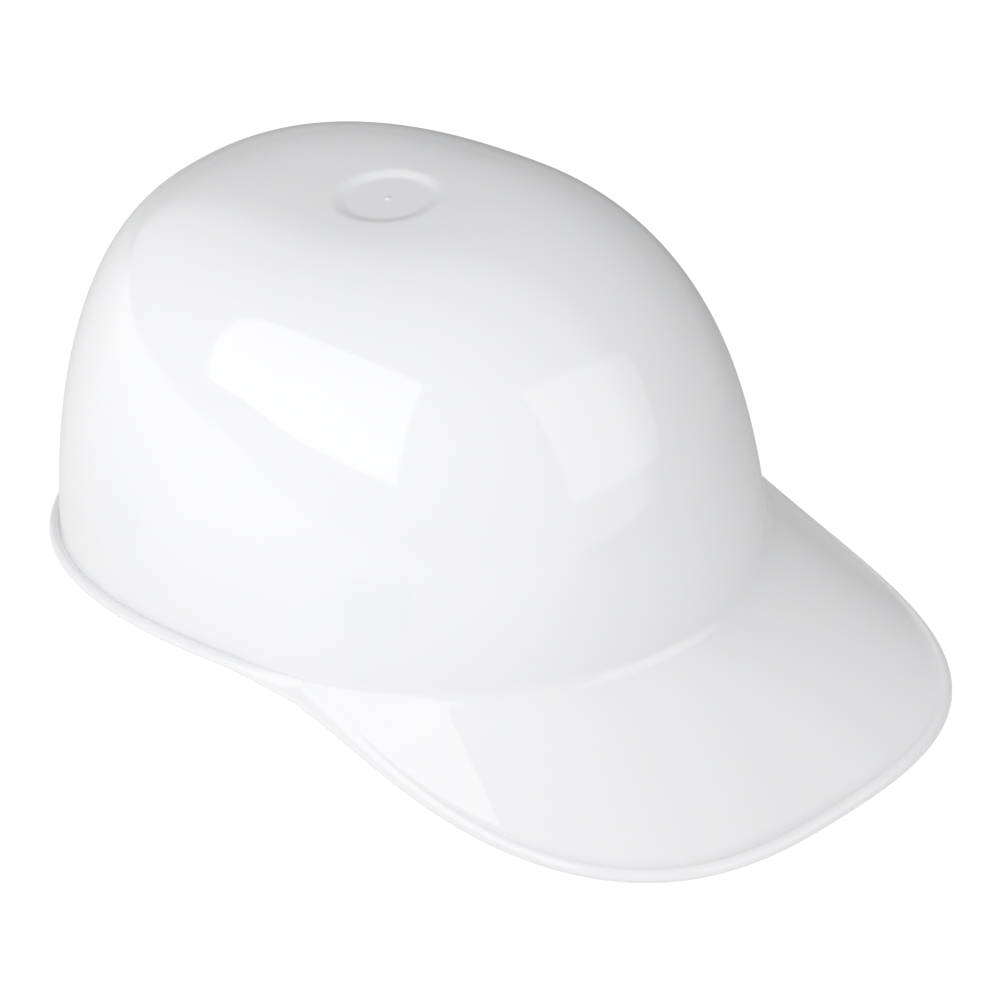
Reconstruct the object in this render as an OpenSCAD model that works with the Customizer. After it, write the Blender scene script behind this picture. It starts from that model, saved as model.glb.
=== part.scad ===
// Bump cap: a one-piece moulded shell with a peaked bill, and the four-point
// suspension it is worn on. Millimetres, +Z up, bill towards -Y.
// The cap is drawn as it rests on a table: on the tip of the bill and the rear
// rim. Origin: centre of the footprint, on the table.

/* [Shell crown] */
// Half the crown's width at its base
crown_half_width = 98;     // [90:0.5:110]
// Crown reach ahead of its widest point
crown_front = 102;         // [90:0.5:120]
// Crown reach behind its widest point
crown_rear = 143;          // [120:0.5:160]
// Squareness of the crown's plan, front half
plan_power_front = 2.03;   // [1.8:0.01:3]
// Squareness of the crown's plan, rear half
plan_power_rear = 2.31;    // [1.8:0.01:3]
// Height of the crown's top above the side rim
crown_height = 115.5;      // [100:0.5:140]
// Squareness of the crown's shoulder seen from above, at the front
shoulder_front = 3.05;     // [2:0.05:5]
// Squareness of the crown's shoulder seen from above, at the sides
shoulder_side = 3.37;      // [2:0.05:5]
// Squareness of the crown's shoulder seen from above, at the rear
shoulder_rear = 3.73;      // [2:0.05:5]
// Roundness of the crown's rise
rise_power = 2.59;         // [2:0.05:4]
// Share of the width the wall loses between base and top (mould draft)
wall_draft = 0.08;         // [0:0.01:0.15]
// How far the top lies behind the widest point
top_setback = 16;          // [0:0.5:30]
// How late the set-back comes in towards the top
setback_power = 4.5;       // [1:0.1:6]
// Moulded wall thickness
wall = 2;                  // [1.6:0.1:3]

/* [Rim and bill] */
// Rise of the rim per 100 mm towards the front
rim_slope = 4.6;           // [0:0.1:10]
// Dip of the crown's base line at the front
front_dip = 10;            // [0:0.5:20]
// Dip of the crown's base line at the rear
rear_dip = 3.6;            // [0:0.5:20]
// Bill reach ahead of the crown
bill_reach = 63;           // [40:1:80]
// Half the bill's width
bill_half_width = 98;      // [90:0.5:110]
// Squareness of the bill's outline
bill_power = 3;            // [2:0.1:5]
// Where the bill's outline starts, ahead of the crown's widest point
bill_start = 44;           // [0:1:60]
// Droop of the bill that grows steadily from the sides
droop_even = 10;           // [0:1:30]
// Droop of the bill at its corners
droop_corner = 12;         // [0:1:30]
// Extra droop of the bill at its tip
droop_tip = 28;            // [0:1:40]
// Width of the flange under the crown at sides and rear
flange = 3.7;              // [3:0.1:6]
// Radius of the crease between crown and bill
crease_radius = 3.2;       // [1:0.1:6]
// Pitch of the cap as it rests on the bill tip and the rear rim
rest_pitch = 6.1;          // [0:0.1:12]

/* [Gate recess] */
// Radius of the shallow round recess on top
recess_radius = 15.9;      // [10:0.1:25]
// Depth of the recess
recess_depth = 1.1;        // [0.5:0.1:2]

/* [Suspension sockets and keys] */
// Bearing of the front sockets from straight ahead
socket_bearing_front = 58; // [40:1:65]
// Bearing of the rear sockets from straight ahead
socket_bearing_rear = 123; // [110:1:140]
// Height of the sockets' middle above the side rim
socket_level = 29;         // [24:1:40]
// Width of each moulded socket
socket_width = 22;         // [18:0.5:26]
// Height of each moulded socket
socket_height = 14;        // [12:0.5:20]
// Thickness of a hanger key's blade
blade_thickness = 2;       // [1.6:0.1:3]
// Width of a hanger key's blade and plate
key_width = 14;            // [12:0.5:18]
// Height of a hanger key's hanging plate
plate_height = 29.5;       // [28:0.5:32]
// Reach of a hanger key's blade below the socket's middle
blade_reach = 12.3;        // [11:0.1:14]
// Radius of the height buttons' shanks
height_button_radius = 2.5;  // [2:0.1:3]

/* [Headband] */
// Half the inside width of the headband
band_half_width = 74.5;    // [70:0.5:86]
// Inside reach of the headband ahead of its centre
band_front = 94;           // [85:0.5:100]
// Headband centre behind the crown's widest point
band_centre = 14;          // [5:1:25]
// Rear end of the headband behind the crown's widest point
band_end = 70;             // [60:1:90]
// Height of the headband
band_height = 20;          // [16:1:32]
// Level of the headband's lower edge above the side rim
band_level = -2;           // [-6:0.5:8]
// Thickness of headband and nape strap
strip = 1.6;               // [1.2:0.1:2.2]
// Height adjustment each way
height_travel = 4;         // [3:1:8]

/* [Nape strap] */
// Rear reach of the nape strap behind the crown's widest point
nape_rear = 118;           // [105:1:130]
// Start of the nape strap's curve
nape_curve_start = 64;     // [50:1:80]
// Front end of the nape strap's arms
nape_arm_end = 40;         // [30:1:60]
// Height of the nape strap
nape_height = 14;          // [12:1:24]
// Distance between size holes
size_pitch = 8;            // [6:1:10]
// Place of the size buttons at rest
size_button_place = 50;    // [45:1:60]
// Radius of the size buttons' shanks
size_button_radius = 2.4;  // [2:0.1:3]

/* [Straps and pads] */
// Width of the crown straps
strap_width = 15;          // [12:1:22]
// Thickness of the crown straps
strap_thickness = 1.1;     // [1:0.1:2]
// Top of the lower crown strap above the side rim
strap_top = 92;            // [80:1:98]
// Radius of the crown pad
pad_radius = 33;           // [25:1:45]
// Thickness of the crown pad
pad_thickness = 6;         // [4:0.5:8]
// Thickness of the sweatband
sweatband_thickness = 3.6; // [2.5:0.1:5]
// Height of the sweatband
sweatband_height = 23.5;   // [20:0.5:34]

/* [Hidden] */
around = 90;
turn = 360 / around;
bead_width = 3.3;
edge_fall = 1;
corner_blend = 80;
socket_slot = blade_thickness + 0.3;
socket_depth = 6.5;
blade_face = -socket_depth + 1.35;
stud_clearance = 0.35;
neck_clearance = 0.25;
strap_gap = 1.4;
button_level = band_level + band_height / 2;
stud_level = band_level + 28;
plate_level = socket_level - 12;
plate_gap = 0.7;
skin = 0.15;
plate_thickness = 2;
strap_bar = 3;
fine = 64;
stud_turns = [-44, -16, 16, 44];

// ---- shell surfaces ----
// Radius of a squared oval with half-axes w (across) and l (along) at bearing a.
function oval(a, w, l, n) = pow(pow(abs(sin(a)) / w, n) + pow(abs(cos(a)) / l, n), -1 / n);

// Outside radius of the crown's base at bearing a; 0 is straight ahead.
function base_radius(a) =
    cos(a) >= 0 ? oval(a, crown_half_width, crown_front, plan_power_front)
                : oval(a, crown_half_width, crown_rear, plan_power_rear);

function base_level(a) =
    rim_slope * base_radius(a) * cos(a) / 100
    - front_dip * pow(max(cos(a), 0), 2)
    - rear_dip * pow(max(-cos(a), 0), 2);

// The crown's rise at share up (0 base, 1 top), kept inset from the outside.
function shoulder(a) =
    shoulder_side
    + ((cos(a) >= 0 ? shoulder_front : shoulder_rear) - shoulder_side) * pow(cos(a), 2);
function lift_angle(up) = asin(pow(up, rise_power / 2));
function crown_share(a, up) =
    pow(cos(lift_angle(up)), 2 / shoulder(a))
    * (1 + wall_draft * (1 - up)) / (1 + wall_draft);
function crown_point(a, up, inset) =
    let (q = crown_share(a, up) * (base_radius(a) - inset),
         z0 = base_level(a),
         z = z0 * (1 - up) + (crown_height - inset) * up)
    [q * sin(a), -q * cos(a) + top_setback * pow(up, setback_power), z];

// Share up at which the crown is q out from its top.
function up_at(a, q) =
    pow(sqrt(1 - pow(min(q * (1 + wall_draft) / base_radius(a), 1), shoulder(a))),
        2 / rise_power);

// Outline of the bill at bearing a, found by halving the interval.
function bill_miss(a, q) =
    pow(q * abs(sin(a)) / bill_half_width, bill_power)
    + pow(max(q * cos(a) - bill_start, 0) / (crown_front + bill_reach - bill_start),
          bill_power) - 1;
function bill_radius(a, lo = 1, hi = 260, left = 22) =
    left == 0 ? lo
    : bill_miss(a, (lo + hi) / 2) < 0
        ? bill_radius(a, (lo + hi) / 2, hi, left - 1)
        : bill_radius(a, lo, (lo + hi) / 2, left - 1);
function flange_radius(a) = base_radius(a) + flange;
function edge_radius(a) =
    cos(a) <= 0 ? flange_radius(a)
    : let (q = flange_radius(a), b = bill_radius(a))
      q * pow(1 + pow(b / q, corner_blend), 1 / corner_blend)
        - (b < q ? (q * pow(2, 1 / corner_blend) - q) * pow(b / q, corner_blend) : 0);
function droop(a) =
    cos(a) <= 0 ? 0
    : droop_even * cos(a) + droop_corner * pow(sin(2 * a), 2) + droop_tip * pow(cos(a), 4);
// Upper face of flange and bill at distance q from the axis.
function bill_level(a, q, edge) =
    base_level(a)
    - (droop(a) + edge_fall) * (q - base_radius(a)) / (edge - base_radius(a));
function bill_point(a, q, edge, dz) = [q * sin(a), -q * cos(a), bill_level(a, q, edge) + dz];

function bend(p, c, q, t) = (1 - t) * (1 - t) * p + 2 * t * (1 - t) * c + t * t * q;

// ---- shell rows, from the top's middle out, round the edge and back inside ----
// Flat floor with a small gate mark in the middle, then a soft shoulder up to the crown.
floor_rows = [[1, 0.6], [1.6, 0], [6, 0], [recess_radius - 2.1, 0]];
shoulder_rows = [[-0.9, -0.7], [0.3, -0.22], [1.6, 0]];
outer_ups = [0.995, 0.985, 0.965, 0.93, 0.88, 0.81, 0.72, 0.61, 0.49, 0.37, 0.26, 0.16, 0.08];
inner_ups = [0.01, 0.08, 0.2, 0.35, 0.5, 0.64, 0.76, 0.86, 0.93, 0.97, 0.992];
bead_rows = [[-3.7, 0], [-3.1, 0.55], [-2.2, 0.95], [-1.1, 0.85], [-0.3, 0.3],
             [0, -0.7], [-0.3, -1.7], [-1.2, -2.4], [-2.4, -2.5], [-3.7, -2.3]];
bill_shares = [0.25, 0.5, 0.75];

function crease_share(a, up0, edge, t) =
    let (p = crown_point(a, up0, 0),
         c = crown_point(a, 0, 0),
         q = base_radius(a) + min(crease_radius, 0.08 * (edge - base_radius(a)) + 0.1))
    bend(p, c, bill_point(a, q, edge, 0), t);
function shell_column(a) =
    let (edge = edge_radius(a),
         r = base_radius(a),
         width = edge - r,
         fall = min(crease_radius, 0.08 * width + 1.2),
         up0 = fall / crown_height,
         r0 = r + min(crease_radius, 0.08 * width + 0.1),
         r1 = max(edge - 3.7, r0 + 0.02))
    concat(
        [for (k = floor_rows)
            [k[0] * sin(a), top_setback - k[0] * cos(a), crown_height - recess_depth + k[1]]],
        [for (k = shoulder_rows)
            crown_point(a, up_at(a, recess_radius + k[0]), 0) + [0, 0, k[1] * recess_depth]],
        [for (u = outer_ups) crown_point(a, u, 0)],
        [for (t = [0, 0.35, 0.7, 1]) crease_share(a, up0, edge, t)],
        [for (s = bill_shares) bill_point(a, r0 + (r1 - r0) * s, edge, 0)],
        [for (k = bead_rows) bill_point(a, max(edge + k[0], r0 + 0.02), edge, k[1])],
        [for (s = [0.7, 0.4, 0.12])
            bill_point(a, r + (r1 - r) * s, edge, -2.3)],
        [bill_point(a, r - wall + 0.6, edge, -2.1)],
        [for (u = inner_ups) crown_point(a, u, wall)]);

columns = [for (i = [0:around - 1]) shell_column(i * turn)];
rows = len(columns[0]);
apex_out = [0, top_setback, crown_height - recess_depth + 0.6];
apex_in = [0, top_setback, crown_height - wall - recess_depth];
shell_points = concat([for (c = columns) each c], [apex_out, apex_in]);
function at(i, k) = (i % around) * rows + k;
shell_faces = concat(
    [for (i = [0:around - 1], k = [0:rows - 2]) each
        [[at(i, k), at(i + 1, k), at(i + 1, k + 1)],
         [at(i, k), at(i + 1, k + 1), at(i, k + 1)]]],
    [for (i = [0:around - 1]) [at(i + 1, 0), at(i, 0), around * rows]],
    [for (i = [0:around - 1]) [at(i, rows - 1), at(i + 1, rows - 1), around * rows + 1]]);

// ---- resting pose: pitched about X, lifted on to the table, footprint centred ----
function rested(p) = [p[0], p[1] * cos(rest_pitch) + p[2] * sin(rest_pitch),
                      -p[1] * sin(rest_pitch) + p[2] * cos(rest_pitch)];
rested_points = [for (p = shell_points) rested(p)];
rest_low = min([for (p = rested_points) p[2]]);
rest_front = min([for (p = rested_points) p[1]]);
rest_back = max([for (p = rested_points) p[1]]);
module rest_on_table() {
    translate([0, -(rest_front + rest_back) / 2, -rest_low])
        rotate([-rest_pitch, 0, 0]) children();
}

// ---- socket and plate frames ----
// Plan bearing of the wall's normal at bearing a, from +X.
function wall_heading(a) =
    let (p = base_radius(a - 1) * [sin(a - 1), -cos(a - 1)],
         q = base_radius(a + 1) * [sin(a + 1), -cos(a + 1)])
    atan2(q[1] - p[1], q[0] - p[0]) - 90;
function up_for(a, z) = (z - base_level(a)) / (crown_height - base_level(a));
function wall_lean(a) =
    let (p = crown_point(a, up_for(a, socket_level - 8), 0),
         q = crown_point(a, up_for(a, socket_level + 8), 0),
         h = wall_heading(a))
    atan2((p - q) * [cos(h), sin(h), 0], q[2] - p[2]);
module at_socket(a) {
    translate(crown_point(a, up_for(a, socket_level), 0))
        rotate([0, 0, wall_heading(a)]) rotate([0, -wall_lean(a), 0]) children();
}

// Outside face of the headband where a key hangs it: place and heading.
band_out_width = band_half_width + strip;
band_out_front = band_front + strip;
front_tab_turn = 53.6;
front_tab_place = [band_out_width * sin(front_tab_turn),
                   band_centre - band_out_front * cos(front_tab_turn)];
front_tab_heading = atan2(-cos(front_tab_turn) / band_out_front,
                          sin(front_tab_turn) / band_out_width);
rear_tab_place = [band_out_width, band_end - 10];
module at_plate(front) {
    place = front ? front_tab_place : rear_tab_place;
    translate([place[0], place[1], 0])
        rotate([0, 0, front ? front_tab_heading : 0]) children();
}

// ---- small shared solids ----
module block(lo, hi) {
    translate(lo) cube(hi - lo);
}

module rod(from, to, r) {
    translate([from, 0, 0]) rotate([0, 90, 0]) cylinder(r = r, h = to - from, $fn = fine);
}

module soft_block(lo, hi, r) {
    hull() for (y = [lo[1] + r, hi[1] - r], z = [lo[2] + r, hi[2] - r])
        translate([lo[0], y, z]) rotate([0, 90, 0])
            cylinder(r = r, h = hi[0] - lo[0], $fn = 16);
}

// A flat shape along the headband: front half oval, then straight sides.
module band_plan(half, front, rear) {
    intersection() {
        union() {
            translate([0, band_centre]) scale([half, front]) circle(r = 1, $fn = 120);
            translate([-half, band_centre]) square([2 * half, 200]);
        }
        translate([-200, -200]) square([400, 200 + rear]);
    }
}

module nape_plan(half, rear, front) {
    intersection() {
        union() {
            translate([0, nape_curve_start])
                scale([half, rear - nape_curve_start]) circle(r = 1, $fn = 120);
            translate([-half, -100]) square([2 * half, nape_curve_start + 100]);
        }
        translate([-200, front]) square([400, 300]);
    }
}

// ---- shell ----
module socket_solid(a) {
    at_socket(a) difference() {
        union() {
            soft_block([-socket_depth, -socket_width / 2, -socket_height / 2],
                       [-1.3, socket_width / 2, socket_height / 2], 1.5);
            soft_block([-socket_depth, -socket_width / 2 + 3, -socket_height / 2 - 1.5],
                       [-socket_depth + 1.2, socket_width / 2 - 3, socket_height / 2], 2);
        }
        block([-socket_depth + 1.2, -key_width / 2 - 0.3, -20],
              [-socket_depth + 1.2 + socket_slot, key_width / 2 + 0.3, 20]);
    }
}

module shell() {
    color([0.94, 0.95, 0.96]) rest_on_table() union() {
        polyhedron(points = shell_points, faces = shell_faces, convexity = 6);
        for (s = [-1, 1], a = [socket_bearing_front, socket_bearing_rear])
            socket_solid(s * a);
    }
}

// ---- hanger keys ----
module blade(a) {
    at_socket(a) {
        block([blade_face, -key_width / 2, -blade_reach],
              [blade_face + blade_thickness, key_width / 2, socket_height / 2 + 1.7]);
        block([blade_face - 0.9, -4, socket_height / 2 + 0.4],
              [blade_face + 0.2, 4, socket_height / 2 + 1.7]);
    }
}

module key_foot(a, front) {
    hull() {
        at_socket(a) block([blade_face + skin, -key_width / 2 + skin, -blade_reach + skin],
            [blade_face + blade_thickness - skin, key_width / 2 - skin, 2.4 - blade_reach]);
        at_plate(front) block([plate_gap + skin, -key_width / 2 + skin, plate_level + skin],
            [plate_gap + plate_thickness - skin, key_width / 2 - skin, plate_level + 2.4]);
    }
}

module hanger_key(a, front) {
    blade(a);
    key_foot(a, front);
    at_plate(front) difference() {
        soft_block([plate_gap, -key_width / 2 - 2.2, plate_level],
                   [plate_gap + plate_thickness, key_width / 2 + 2.2,
                    plate_level + plate_height], 2.2);
        translate([0, 0, stud_level]) rod(-1, 5, height_button_radius + 0.05);
        block([-1, -strap_width / 2 - 0.4, plate_level + plate_height - strap_bar - 2.6],
              [5, strap_width / 2 + 0.4, plate_level + plate_height - strap_bar]);
    }
}

module key_front_right() {
    color([0.2, 0.21, 0.23]) rest_on_table()
        mirror([1, 0, 0]) hanger_key(socket_bearing_front, true);
}

module key_front_left() {
    color([0.2, 0.21, 0.23]) rest_on_table() hanger_key(socket_bearing_front, true);
}

module key_rear_right() {
    color([0.2, 0.21, 0.23]) rest_on_table()
        mirror([1, 0, 0]) hanger_key(socket_bearing_rear, false);
}

module key_rear_left() {
    color([0.2, 0.21, 0.23]) rest_on_table() hanger_key(socket_bearing_rear, false);
}

module height_button(front) {
    color([0.93, 0.94, 0.95]) at_plate(front) translate([0, 0, stud_level]) {
        rod(-3.7, -2.2, 4.4);
        rod(-2.3, 3, height_button_radius);
        rod(2.75, 4, 4);
    }
}

module height_button_front_left() {
    rest_on_table() height_button(true);
}

module height_button_front_right() {
    rest_on_table() mirror([1, 0, 0]) height_button(true);
}

module height_button_rear_left() {
    rest_on_table() height_button(false);
}

module height_button_rear_right() {
    rest_on_table() mirror([1, 0, 0]) height_button(false);
}

// ---- crown straps ----
strap_low = plate_level + plate_height + 0.6;
strap_front_end = front_tab_place + (plate_gap + 1) * [cos(front_tab_heading), sin(front_tab_heading)];
strap_rear_end = rear_tab_place + [plate_gap + 1, 0];
strap_span = [strap_rear_end[0] + strap_front_end[0], strap_rear_end[1] - strap_front_end[1]];
strap_length = norm(strap_span);
strap_heading = atan2(strap_span[1], strap_span[0]);
strap_middle = [(strap_rear_end[0] - strap_front_end[0]) / 2,
                (strap_rear_end[1] + strap_front_end[1]) / 2];
// Where the two straps cross over the middle of the head.
strap_cross = strap_front_end[1] + strap_span[1] * strap_front_end[0] / strap_span[0];

// Ribbon standing over both keys, as a closed outline in its own upright plane.
module ribbon(top) {
    half = strap_length / 2;
    steps = [0:4:180];
    rise = top - strap_low;
    outside = [for (t = steps) [-(half + 0.1) * cos(t), strap_low + rise * sin(t)]];
    inside = [for (t = [180:-4:0])
        [-(half + 0.1 - strap_thickness) * cos(t),
         strap_low + (rise - strap_thickness) * sin(t)]];
    translate([strap_middle[0], strap_middle[1], 0])
        rotate([90, 0, strap_heading])
            linear_extrude(height = strap_width, center = true)
                polygon(concat(outside, inside));
}

// The sewn loop that holds the strap on a key's top bar.
module strap_loop(front) {
    low = plate_level + plate_height - strap_bar;
    at_plate(front) difference() {
        block([plate_gap - 0.3 - strap_thickness, -strap_width / 2, low - 0.3 - strap_thickness],
              [plate_gap + plate_thickness + 0.3 + strap_thickness, strap_width / 2,
               low + strap_bar + 0.4 + strap_thickness]);
        block([plate_gap - 0.3, -20, low - 0.3],
              [plate_gap + plate_thickness + 0.3, 20, low + strap_bar + 0.4]);
    }
}

module crown_strap(top) {
    difference() {
        union() {
            ribbon(top);
            strap_loop(false);
            mirror([1, 0, 0]) strap_loop(true);
        }
        translate([0, strap_cross, 60]) cylinder(r = 2.8, h = 60, $fn = fine);
    }
}

module strap_lower() {
    color([0.16, 0.17, 0.19]) rest_on_table() crown_strap(strap_top);
}

module strap_upper() {
    color([0.16, 0.17, 0.19]) rest_on_table()
        mirror([1, 0, 0]) crown_strap(strap_top + strap_thickness + strap_gap);
}

module strap_rivet() {
    color([0.93, 0.94, 0.95]) rest_on_table() translate([0, strap_cross, strap_top - 0.4]) {
        translate([0, 0, strap_thickness + strap_gap + 0.7]) cylinder(r = 6, h = 1.3, $fn = fine);
        translate([0, 0, -3]) cylinder(r = 2.4, h = 6.6, $fn = fine);
        translate([0, 0, -3.4]) cylinder(r = 6, h = 1.3, $fn = fine);
    }
}

module crown_pad() {
    color([0.25, 0.26, 0.28]) rest_on_table()
        translate([0, strap_cross, strap_top - 4.9 - pad_thickness])
            rotate_extrude($fn = fine)
                polygon(concat(
                    [[0, 0]],
                    [for (q = [12:8:pad_radius - 3]) [q, -q * q / 560]],
                    [[pad_radius - 1, -1.4], [pad_radius, 0.2],
                     [pad_radius, pad_thickness - 3.6], [pad_radius - 1.2, pad_thickness - 2.2]],
                    [for (q = [pad_radius - 4:-8:8]) [q, pad_thickness - q * q / 560]],
                    [[0, pad_thickness]]));
}

// ---- headband ----
module tab_slot(front) {
    at_plate(front) for (k = [-1, 0, 1]) translate([0, 0, stud_level + k * height_travel]) {
        rod(-4, 4, height_button_radius + stud_clearance);
    }
    at_plate(front)
        block([-4, -height_button_radius - neck_clearance, stud_level - height_travel],
              [4, height_button_radius + neck_clearance, stud_level + height_travel]);
}

module tab_mask(front) {
    at_plate(front) soft_block([-8, -8.5, band_level + 2], [8, 8.5, stud_level + 9.5], 3);
}

module headband_solid() {
    difference() {
        intersection() {
            translate([0, 0, band_level]) linear_extrude(height = 60) band_wall();
            union() {
                block([-100, -100, band_level - 1], [100, 100, band_level + band_height]);
                for (s = [0, 1], front = [true, false]) mirror([s, 0, 0]) tab_mask(front);
            }
        }
        for (s = [0, 1], front = [true, false]) mirror([s, 0, 0]) tab_slot(front);
        for (k = [-3:2])
            translate([0, size_button_place + k * size_pitch, button_level])
                rod(-100, 100, size_button_radius + stud_clearance);
        block([-100, size_button_place - 3 * size_pitch,
               button_level - size_button_radius - neck_clearance],
              [100, size_button_place + 2 * size_pitch,
               button_level + size_button_radius + neck_clearance]);
        for (t = stud_turns) band_stud_place(t) rod(-6, 6, 1.75);
    }
}

module band_wall() {
    difference() {
        band_plan(band_half_width + strip, band_front + strip, band_end);
        band_plan(band_half_width, band_front, band_end + 1);
    }
}

// Places on the headband's inside face where the sweatband is studded on.
module band_stud_place(t) {
    translate([band_half_width * sin(t), band_centre - band_front * cos(t), button_level])
        rotate([0, 0, atan2(-cos(t) / band_front, sin(t) / band_half_width)]) children();
}

module headband() {
    color([0.2, 0.21, 0.23]) rest_on_table() headband_solid();
}

module sweatband() {
    gap = 0.4;
    color([0.12, 0.12, 0.13]) rest_on_table()
        translate([0, 0, band_level - 4.5]) linear_extrude(height = sweatband_height)
            difference() {
                intersection() {
                    band_plan(band_half_width - gap, band_front - gap, -18);
                    translate([-200, -200]) square([400, 182]);
                }
                band_plan(band_half_width - gap - sweatband_thickness,
                          band_front - gap - sweatband_thickness, 0);
            }
}

module sweatband_studs() {
    color([0.93, 0.94, 0.95]) rest_on_table() for (t = stud_turns)
        band_stud_place(t) {
            rod(-0.3, strip + 0.4, 1.7);
            rod(strip + 0.3, strip + 1.3, 3.2);
        }
}

// ---- nape strap ----
nape_half = band_half_width - 0.3;
nape_level = button_level - nape_height / 2;
module nape_wall(out, thickness) {
    difference() {
        nape_plan(nape_half - out, nape_rear - out, nape_arm_end);
        nape_plan(nape_half - out - thickness, nape_rear - out - thickness, nape_arm_end - 1);
    }
}

module nape_stud_place(t) {
    translate([(nape_half - strip) * sin(t),
               nape_curve_start + (nape_rear - strip - nape_curve_start) * cos(t),
               button_level])
        rotate([0, 0, atan2(cos(t) / (nape_rear - nape_curve_start), sin(t) / nape_half)])
            children();
}

module nape_strap() {
    color([0.2, 0.21, 0.23]) rest_on_table() difference() {
        translate([0, 0, nape_level]) linear_extrude(height = nape_height) nape_wall(0, strip);
        translate([0, size_button_place, button_level]) rod(-100, 100, size_button_radius + 0.06);
        for (t = [-22, 22]) nape_stud_place(t) rod(-4, 4, 1.75);
    }
}

module nape_pad() {
    color([0.12, 0.12, 0.13]) rest_on_table()
        translate([0, 0, nape_level - 1.5]) linear_extrude(height = nape_height + 3)
            intersection() {
                nape_wall(strip + 0.4, 3);
                translate([-46, nape_curve_start]) square([92, 80]);
            }
}

module nape_pad_studs() {
    color([0.93, 0.94, 0.95]) rest_on_table() for (t = [-22, 22]) nape_stud_place(t) {
        rod(-0.3, strip + 0.4, 1.7);
        rod(strip + 0.3, strip + 1.3, 3.2);
    }
}

module size_button() {
    translate([0, size_button_place, button_level]) {
        rod(nape_half - strip, band_half_width + strip + 0.6, size_button_radius);
        rod(band_half_width + strip + 0.35, band_half_width + strip + 2.2, 4);
        rod(band_half_width + strip + 2.1, band_half_width + strip + 3, 3);
    }
}

module size_button_left() {
    color([0.93, 0.94, 0.95]) rest_on_table() size_button();
}

module size_button_right() {
    color([0.93, 0.94, 0.95]) rest_on_table() mirror([1, 0, 0]) size_button();
}

shell();
key_front_left();
key_front_right();
key_rear_left();
key_rear_right();
height_button_front_left();
height_button_front_right();
height_button_rear_left();
height_button_rear_right();
strap_lower();
strap_upper();
strap_rivet();
crown_pad();
headband();
sweatband();
sweatband_studs();
nape_strap();
nape_pad();
nape_pad_studs();
size_button_left();
size_button_right();
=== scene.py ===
"""Bump cap: a glossy moulded shell with its key-hung, adjustable suspension."""

import math

import bmesh
import bpy
import numpy as np
from bpy.props import FloatProperty, FloatVectorProperty, IntProperty, PointerProperty
from mathutils import Matrix, Vector
from mathutils.bvhtree import BVHTree


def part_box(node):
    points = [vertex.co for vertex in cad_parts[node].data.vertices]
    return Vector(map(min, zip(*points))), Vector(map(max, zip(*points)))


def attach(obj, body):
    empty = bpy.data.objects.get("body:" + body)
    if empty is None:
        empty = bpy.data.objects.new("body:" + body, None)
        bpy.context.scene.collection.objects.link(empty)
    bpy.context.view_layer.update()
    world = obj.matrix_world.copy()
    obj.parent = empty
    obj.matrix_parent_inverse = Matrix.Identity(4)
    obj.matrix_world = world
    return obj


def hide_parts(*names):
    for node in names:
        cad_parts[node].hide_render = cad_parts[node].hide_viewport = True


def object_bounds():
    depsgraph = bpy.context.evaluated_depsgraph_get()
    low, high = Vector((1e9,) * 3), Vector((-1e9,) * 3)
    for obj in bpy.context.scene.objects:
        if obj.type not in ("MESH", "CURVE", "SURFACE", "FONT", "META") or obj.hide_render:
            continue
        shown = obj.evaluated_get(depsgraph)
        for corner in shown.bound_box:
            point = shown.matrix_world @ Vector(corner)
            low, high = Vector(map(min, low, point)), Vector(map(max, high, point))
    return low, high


bl_info = {
    "name": "Bump Cap",
    "version": (1, 0, 0),
    "blender": (4, 5, 0),
    "location": "3D View > Sidebar > Bump Cap",
    "description": "Builds a moulded bump cap and its suspension round the packed model",
    "category": "Add Mesh",
}

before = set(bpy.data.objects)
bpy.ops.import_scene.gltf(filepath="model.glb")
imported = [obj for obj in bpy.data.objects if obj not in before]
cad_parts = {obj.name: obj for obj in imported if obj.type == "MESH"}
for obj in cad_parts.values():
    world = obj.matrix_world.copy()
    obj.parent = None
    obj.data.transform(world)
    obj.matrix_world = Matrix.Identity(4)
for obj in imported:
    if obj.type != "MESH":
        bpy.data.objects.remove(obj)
cad_low, cad_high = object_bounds()

MM = 0.001
REST_PITCH = math.radians(6.1)
BAND_LEVEL = -2.0 * MM
BAND_HEIGHT = 20.0 * MM
BUTTON_LEVEL = BAND_LEVEL + BAND_HEIGHT / 2
BUTTON_PLACE = 50.0 * MM
SOCKET_LEVEL = 29.0 * MM
SOCKET_BEARINGS = (math.radians(58), math.radians(123))
STUD_LEVEL = BAND_LEVEL + 28.0 * MM
PLATE_LEVEL = SOCKET_LEVEL - 12.0 * MM
PLATE_HEIGHT = 29.5 * MM
PLATE_GAP = 0.7 * MM
PLATE_THICKNESS = 2.0 * MM
STRIP = 1.6 * MM
BAND_HALF_WIDTH = 74.5 * MM
BAND_FRONT = 94.0 * MM
BAND_CENTRE = 14.0 * MM
BAND_END = 70.0 * MM
FRONT_TAB_TURN = math.radians(53.6)
NAPE_CURVE_START = 64.0 * MM
NAPE_REAR = 118.0 * MM
NAPE_HEIGHT = 14.0 * MM
NAPE_HALF = BAND_HALF_WIDTH - 0.3 * MM
BAND_STUD_TURNS = (-44, -16, 16, 44)
NAPE_STUD_TURNS = (-22, 22)
REAR_TAB_REACH = 10.0 * MM
SIDES = (("left", 1), ("right", -1))
UPRIGHT = Matrix.Rotation(-math.pi / 2, 4, "Y")
RIVET_DROP = 0.4 * MM
STITCH_SPACING = 1.35
HOLE_DEPTH = 0.3 * MM
CLOTH_STEPS = 20
STRAP_RISE = 1.4 * MM
STRAP_PLAY = 0.3 * MM
STRAP_TWIST = 16.0 * MM
KEY_BAR = 3.0 * MM


# ---- settings ----
def length(name, metres, description):
    return FloatProperty(name=name, description=description, default=metres, unit="LENGTH", precision=5)


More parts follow.
